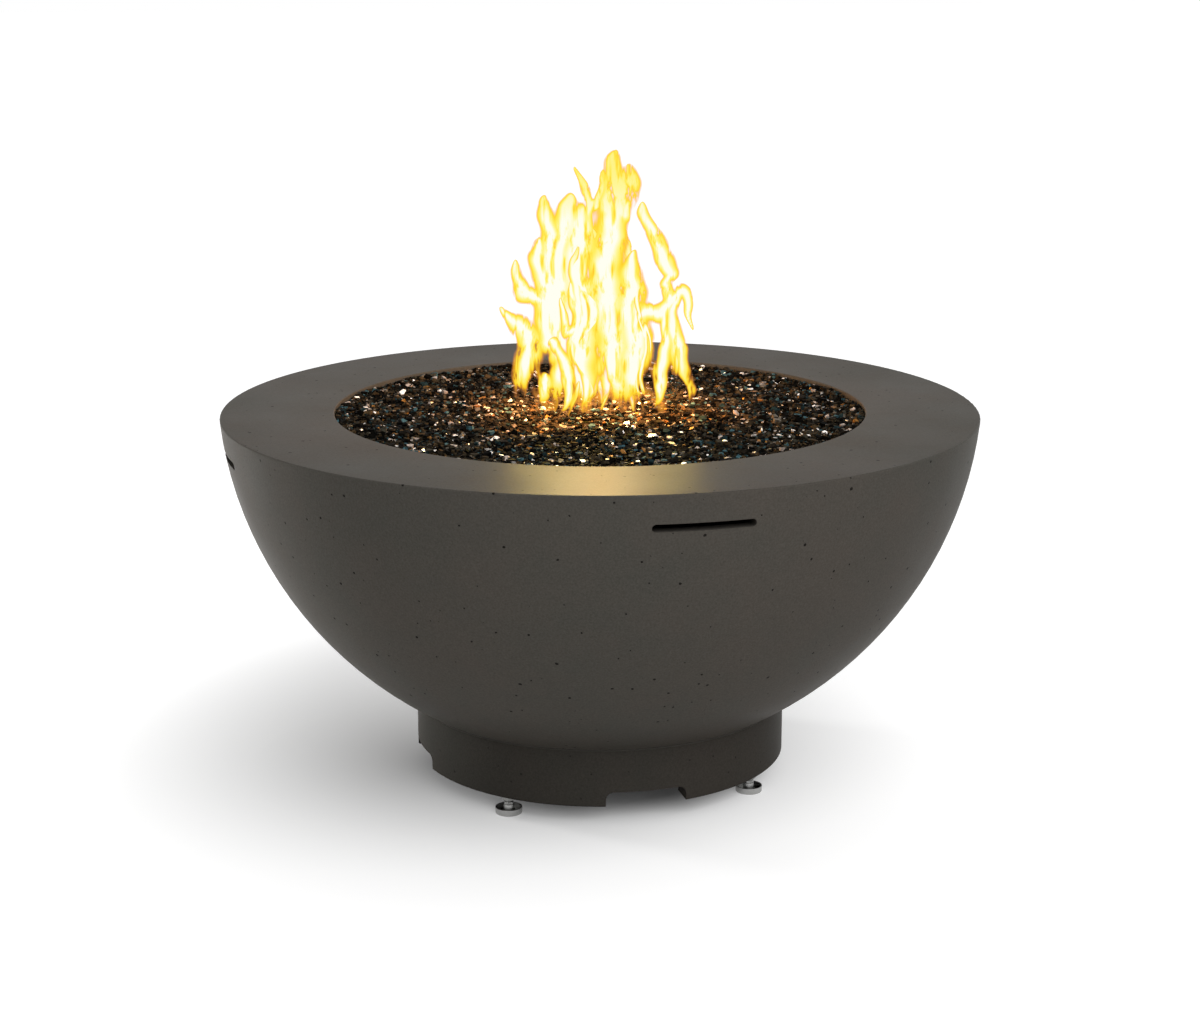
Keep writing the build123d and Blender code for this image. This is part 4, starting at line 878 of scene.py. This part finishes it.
FLAME_TONES = [
    (0.0, (1.0, 0.34, 0.08)), (0.08, (1.0, 0.42, 0.03)), (0.19, (1.0, 0.66, 0.025)),
    (0.35, (1.0, 0.84, 0.10)), (0.56, (1.0, 0.93, 0.32)), (0.80, (1.0, 1.0, 0.88)),
]
PAINTED_REFLECTION_TINT, COVER_SPAN = (1.0, 0.90, 0.66), (-0.08, 0.22)
STREAK_SCALE, STREAK_SPAN, STREAK_HEAT = (100.0, 100.0, 8.0), (0.28, 0.55), (-0.50, 0.07)
STREAKED_SPAN, STREAKED_SHARE = (0.05, 0.55), (0.20, 1.0)


def flame_finish(reflected):
    """Glowing gas: orange and thin at its edges, yellow further in, and pale and streaked in the middle."""
    finish = Finish("flame_gas")
    heat = finish.add("ShaderNodeAttribute", attribute_name="flame_heat").outputs["Fac"]
    streak = finish.noise(1.0, detail=3.0, roughness=0.55, vector=finish.stretched(STREAK_SCALE))
    streak = finish.span(streak, *STREAK_SPAN, *STREAK_HEAT, smooth=True)
    inside = finish.span(heat, *STREAKED_SPAN, *STREAKED_SHARE)
    heat = finish.math("ADD", heat, finish.math("MULTIPLY", streak, inside))
    colour = finish.ramp(heat, FLAME_TONES)
    cover = finish.span(heat, *COVER_SPAN, smooth=True)
    # Painted reflection: glossy rays see the flame brighter and tinted, for its glow on the rim and the
    # glass.
    glossy = finish.add("ShaderNodeLightPath").outputs["Is Glossy Ray"]
    power = finish.span(glossy, 0.0, 1.0, 1.0, reflected)
    tone = finish.mix(glossy, colour, finish.vector("MULTIPLY", colour, PAINTED_REFLECTION_TINT))
    glow = finish.add("ShaderNodeEmission", {"Color": tone, "Strength": power})
    clear = finish.add("ShaderNodeBsdfTransparent")
    finish.blend(cover, clear, glow)
    return finish


GLOW_RISE, GLOW_RADIUS, GLOW_COLOUR = 0.10, 0.07, (1.0, 0.55, 0.24)
EMBER_RISE, EMBER_SIZE, EMBER_COLOUR = 0.035, (0.34, 0.26), (1.0, 0.41, 0.085)
CLEAR_LAYERS = 64


class FIREBOWL_OT_flame(bpy.types.Operator):
    """Light the flame over the burner"""

    bl_idname = "firebowl.flame"
    bl_label = "Flame"

    def execute(self, context):
        look = settings().flame
        draw = np.random.default_rng(look.seed)
        front = settings().studio.azimuth
        sheets = [flame_sheet(front + turn, *place, draw) for turn, *place in FLAME_SHEETS]
        points, faces, heat = zip(*sheets)
        piece = new_piece("flame", *joined(points, faces), flame_finish(look.reflected))
        add_values(piece, "flame_heat", np.concatenate(heat))
        piece.visible_shadow = piece.visible_diffuse = False
        lamp = new_lamp("flame_glow", "POINT", look.glow)
        lamp.data.color = GLOW_COLOUR
        lamp.data.shadow_soft_size = GLOW_RADIUS
        lamp.location = (0.0, 0.0, RIM_TOP + GLOW_RISE)
        bed, above = (0.0, 0.0, BED_TOP), (0.0, 0.0, BED_TOP + EMBER_RISE)
        area_light("ember_glow", above, bed, EMBER_SIZE, look.embers, EMBER_COLOUR)
        context.scene.cycles.transparent_max_bounces = CLEAR_LAYERS
        return {"FINISHED"}


def new_lamp(name, kind, strength):
    """Light in the scene that isn't seen itself."""
    light = bpy.data.lights.new(name, kind)
    light.energy = strength
    lamp = bpy.data.objects.new(name, light)
    lamp.visible_camera = False
    bpy.context.scene.collection.objects.link(lamp)
    return lamp


def area_light(name, place, target, size, power, colour=WHITE[:3]):
    """Soft rectangular light at a place, facing a target."""
    lamp = new_lamp(name, "AREA", power)
    lamp.data.shape = "RECTANGLE"
    lamp.data.size, lamp.data.size_y = size
    lamp.data.color = colour
    lamp.location = place
    away = Vector(target) - Vector(place)
    lamp.rotation_euler = away.to_track_quat("-Z", "Y").to_euler()
    lamp.visible_glossy = False


def sun_light(name, azimuth, elevation, spread, strength):
    """Even light from one side: its direction by azimuth and elevation, and its spread as an angle."""
    lamp = new_lamp(name, "SUN", strength)
    lamp.data.angle = spread
    level = math.cos(elevation)
    source = Vector((level * math.sin(azimuth), -level * math.cos(azimuth), math.sin(elevation)))
    lamp.rotation_euler = (-source).to_track_quat("-Z", "Y").to_euler()
    lamp.visible_glossy = False


def white_world(ambient):
    """White surroundings where they are seen, and an even light of the ambient strength elsewhere."""
    world = bpy.data.worlds.new("studio_world")
    bpy.context.scene.world = world
    finish = Finish("studio_world", world)
    even = finish.add("ShaderNodeBackground", {"Color": WHITE, "Strength": ambient})
    seen = finish.add("ShaderNodeBackground", {"Color": WHITE})
    finish.blend(finish.seen_rays(), even, seen)


# The floor's own light grows away from the centre of a painted shadow left of the bowl, and is dim under the
# bowl as a painted contact shadow. Other rays see the floor painted darker near the bowl, as painted shade on
# the base ring.
PAINTED_SHADOW_CENTRE, PAINTED_SHADOW_REACH, PAINTED_SHADOW_CURVE = (-0.24, 0.05, 0.0), 0.80, 0.75
FLOOR_GLOW, FLOOR_TONE = 0.62, (0.67, 0.67, 0.67, 1.0)
UNDER_SPAN, UNDER_SHADOW_GLOW = (0.19, 0.32), 0.08
BOUNCE_SPAN, PAINTED_BOUNCE_TONES = (0.30, 0.60), (0.08, 0.95)


def floor_finish():
    """White floor that shows soft shadows, the lamps' own deepened by a painted shadow, and is as white as
    the surroundings away from the bowl.
    """
    finish = Finish("studio_floor")
    distance = finish.vector("LENGTH", finish.place())
    # Painted cast shadow: the glow grows with the distance from a centre left of the bowl.
    aside = finish.vector("DISTANCE", finish.place(), PAINTED_SHADOW_CENTRE)
    spread = finish.math("POWER", finish.span(aside, 0.0, PAINTED_SHADOW_REACH), PAINTED_SHADOW_CURVE)
    spread = finish.math("MULTIPLY", spread, FLOOR_GLOW)
    # Painted contact shadow: the glow drops under the bowl.
    under = finish.span(distance, *UNDER_SPAN, UNDER_SHADOW_GLOW, 1.0, smooth=True)
    spread = finish.math("MULTIPLY", spread, under)
    matte = finish.add("ShaderNodeBsdfDiffuse", {"Color": FLOOR_TONE})
    glow = finish.add("ShaderNodeEmission", {"Color": WHITE, "Strength": spread})
    both = finish.add("ShaderNodeAddShader", {0: matte.outputs[0], 1: glow.outputs[0]})
    # Painted shade: rays other than the camera's see the floor darker near the bowl, so less light reaches
    # the base ring.
    painted_bounce_shade = finish.span(distance, *BOUNCE_SPAN, *PAINTED_BOUNCE_TONES)
    painted_dim_floor = finish.add("ShaderNodeBsdfDiffuse", {"Color": painted_bounce_shade})
    finish.blend(finish.seen_rays(), painted_dim_floor, both)
    return finish


FLOOR_HALF, SENSOR_WIDTH = 30.0, 36.0
KEY_TURN, KEY_ELEVATION, KEY_SPREAD = math.radians(30.0), math.radians(45.0), math.radians(60.0)
KEY_STRENGTH = 0.70 * math.pi
STRIP_PLACE, STRIP_TARGET, STRIP_SIZE, STRIP_POWER = (-2.2, 1.7, 0.5), (0.0, 0.0, 0.4), (0.5, 0.9), 58.0


class FIREBOWL_OT_studio(bpy.types.Operator):
    """Set up the floor, lights and camera"""

    bl_idname = "firebowl.studio"
    bl_label = "Studio"

    def execute(self, context):
        look = settings().studio
        scene = context.scene
        scene.view_settings.view_transform = "Standard"
        white_world(look.ambient)
        corners = FLOOR_HALF * np.array([(-1, -1, 0), (1, -1, 0), (1, 1, 0), (-1, 1, 0)])
        floor = new_piece("studio_floor", corners, [np.array([[0, 1, 2, 3]])], floor_finish())
        sun_light("key_light", look.azimuth + KEY_TURN, KEY_ELEVATION, KEY_SPREAD, KEY_STRENGTH)
        area_light("left_strip", STRIP_PLACE, STRIP_TARGET, STRIP_SIZE, STRIP_POWER)
        camera = bpy.data.cameras.new("studio_camera")
        camera.lens = look.lens
        camera.sensor_width = SENSOR_WIDTH
        seat = bpy.data.objects.new("studio_camera", camera)
        scene.collection.objects.link(seat)
        aside, back = math.sin(look.azimuth), math.cos(look.azimuth)
        seat.location = (look.distance * aside, -look.distance * back, look.height)
        seat.rotation_euler = (math.pi / 2 - look.pitch, 0.0, look.azimuth)
        scene.camera = seat
        return {"FINISHED"}


class FIREBOWL_PT_panel(bpy.types.Panel):
    """Steps that dress the fire bowl"""

    bl_label = "Fire Bowl"
    bl_idname = "FIREBOWL_PT_panel"
    bl_space_type = "VIEW_3D"
    bl_region_type = "UI"
    bl_category = "Fire Bowl"

    def draw(self, context):
        for step in STEPS:
            self.layout.operator(step.bl_idname)


STEPS = (FIREBOWL_OT_concrete, FIREBOWL_OT_glass, FIREBOWL_OT_feet, FIREBOWL_OT_burner, FIREBOWL_OT_gas_train,
         FIREBOWL_OT_flame, FIREBOWL_OT_studio)
CLASSES = (ConcreteLook, GlassLook, FlameLook, StudioLook, FireBowlSettings, *STEPS, FIREBOWL_PT_panel)


def register():
    """Add the settings, the steps and the panel."""
    for cls in CLASSES:
        bpy.utils.register_class(cls)
    bpy.types.Scene.fire_bowl = PointerProperty(type=FireBowlSettings)


def unregister():
    """Take the settings, the steps and the panel away again."""
    del bpy.types.Scene.fire_bowl
    for cls in reversed(CLASSES):
        bpy.utils.unregister_class(cls)


def main():
    """Dress the bowl step by step."""
    register()
    bpy.ops.firebowl.concrete()
    bpy.ops.firebowl.glass()
    bpy.ops.firebowl.feet()
    bpy.ops.firebowl.burner()
    bpy.ops.firebowl.gas_train()
    bpy.ops.firebowl.flame()
    bpy.ops.firebowl.studio()


if __name__ == "__main__":
    main()
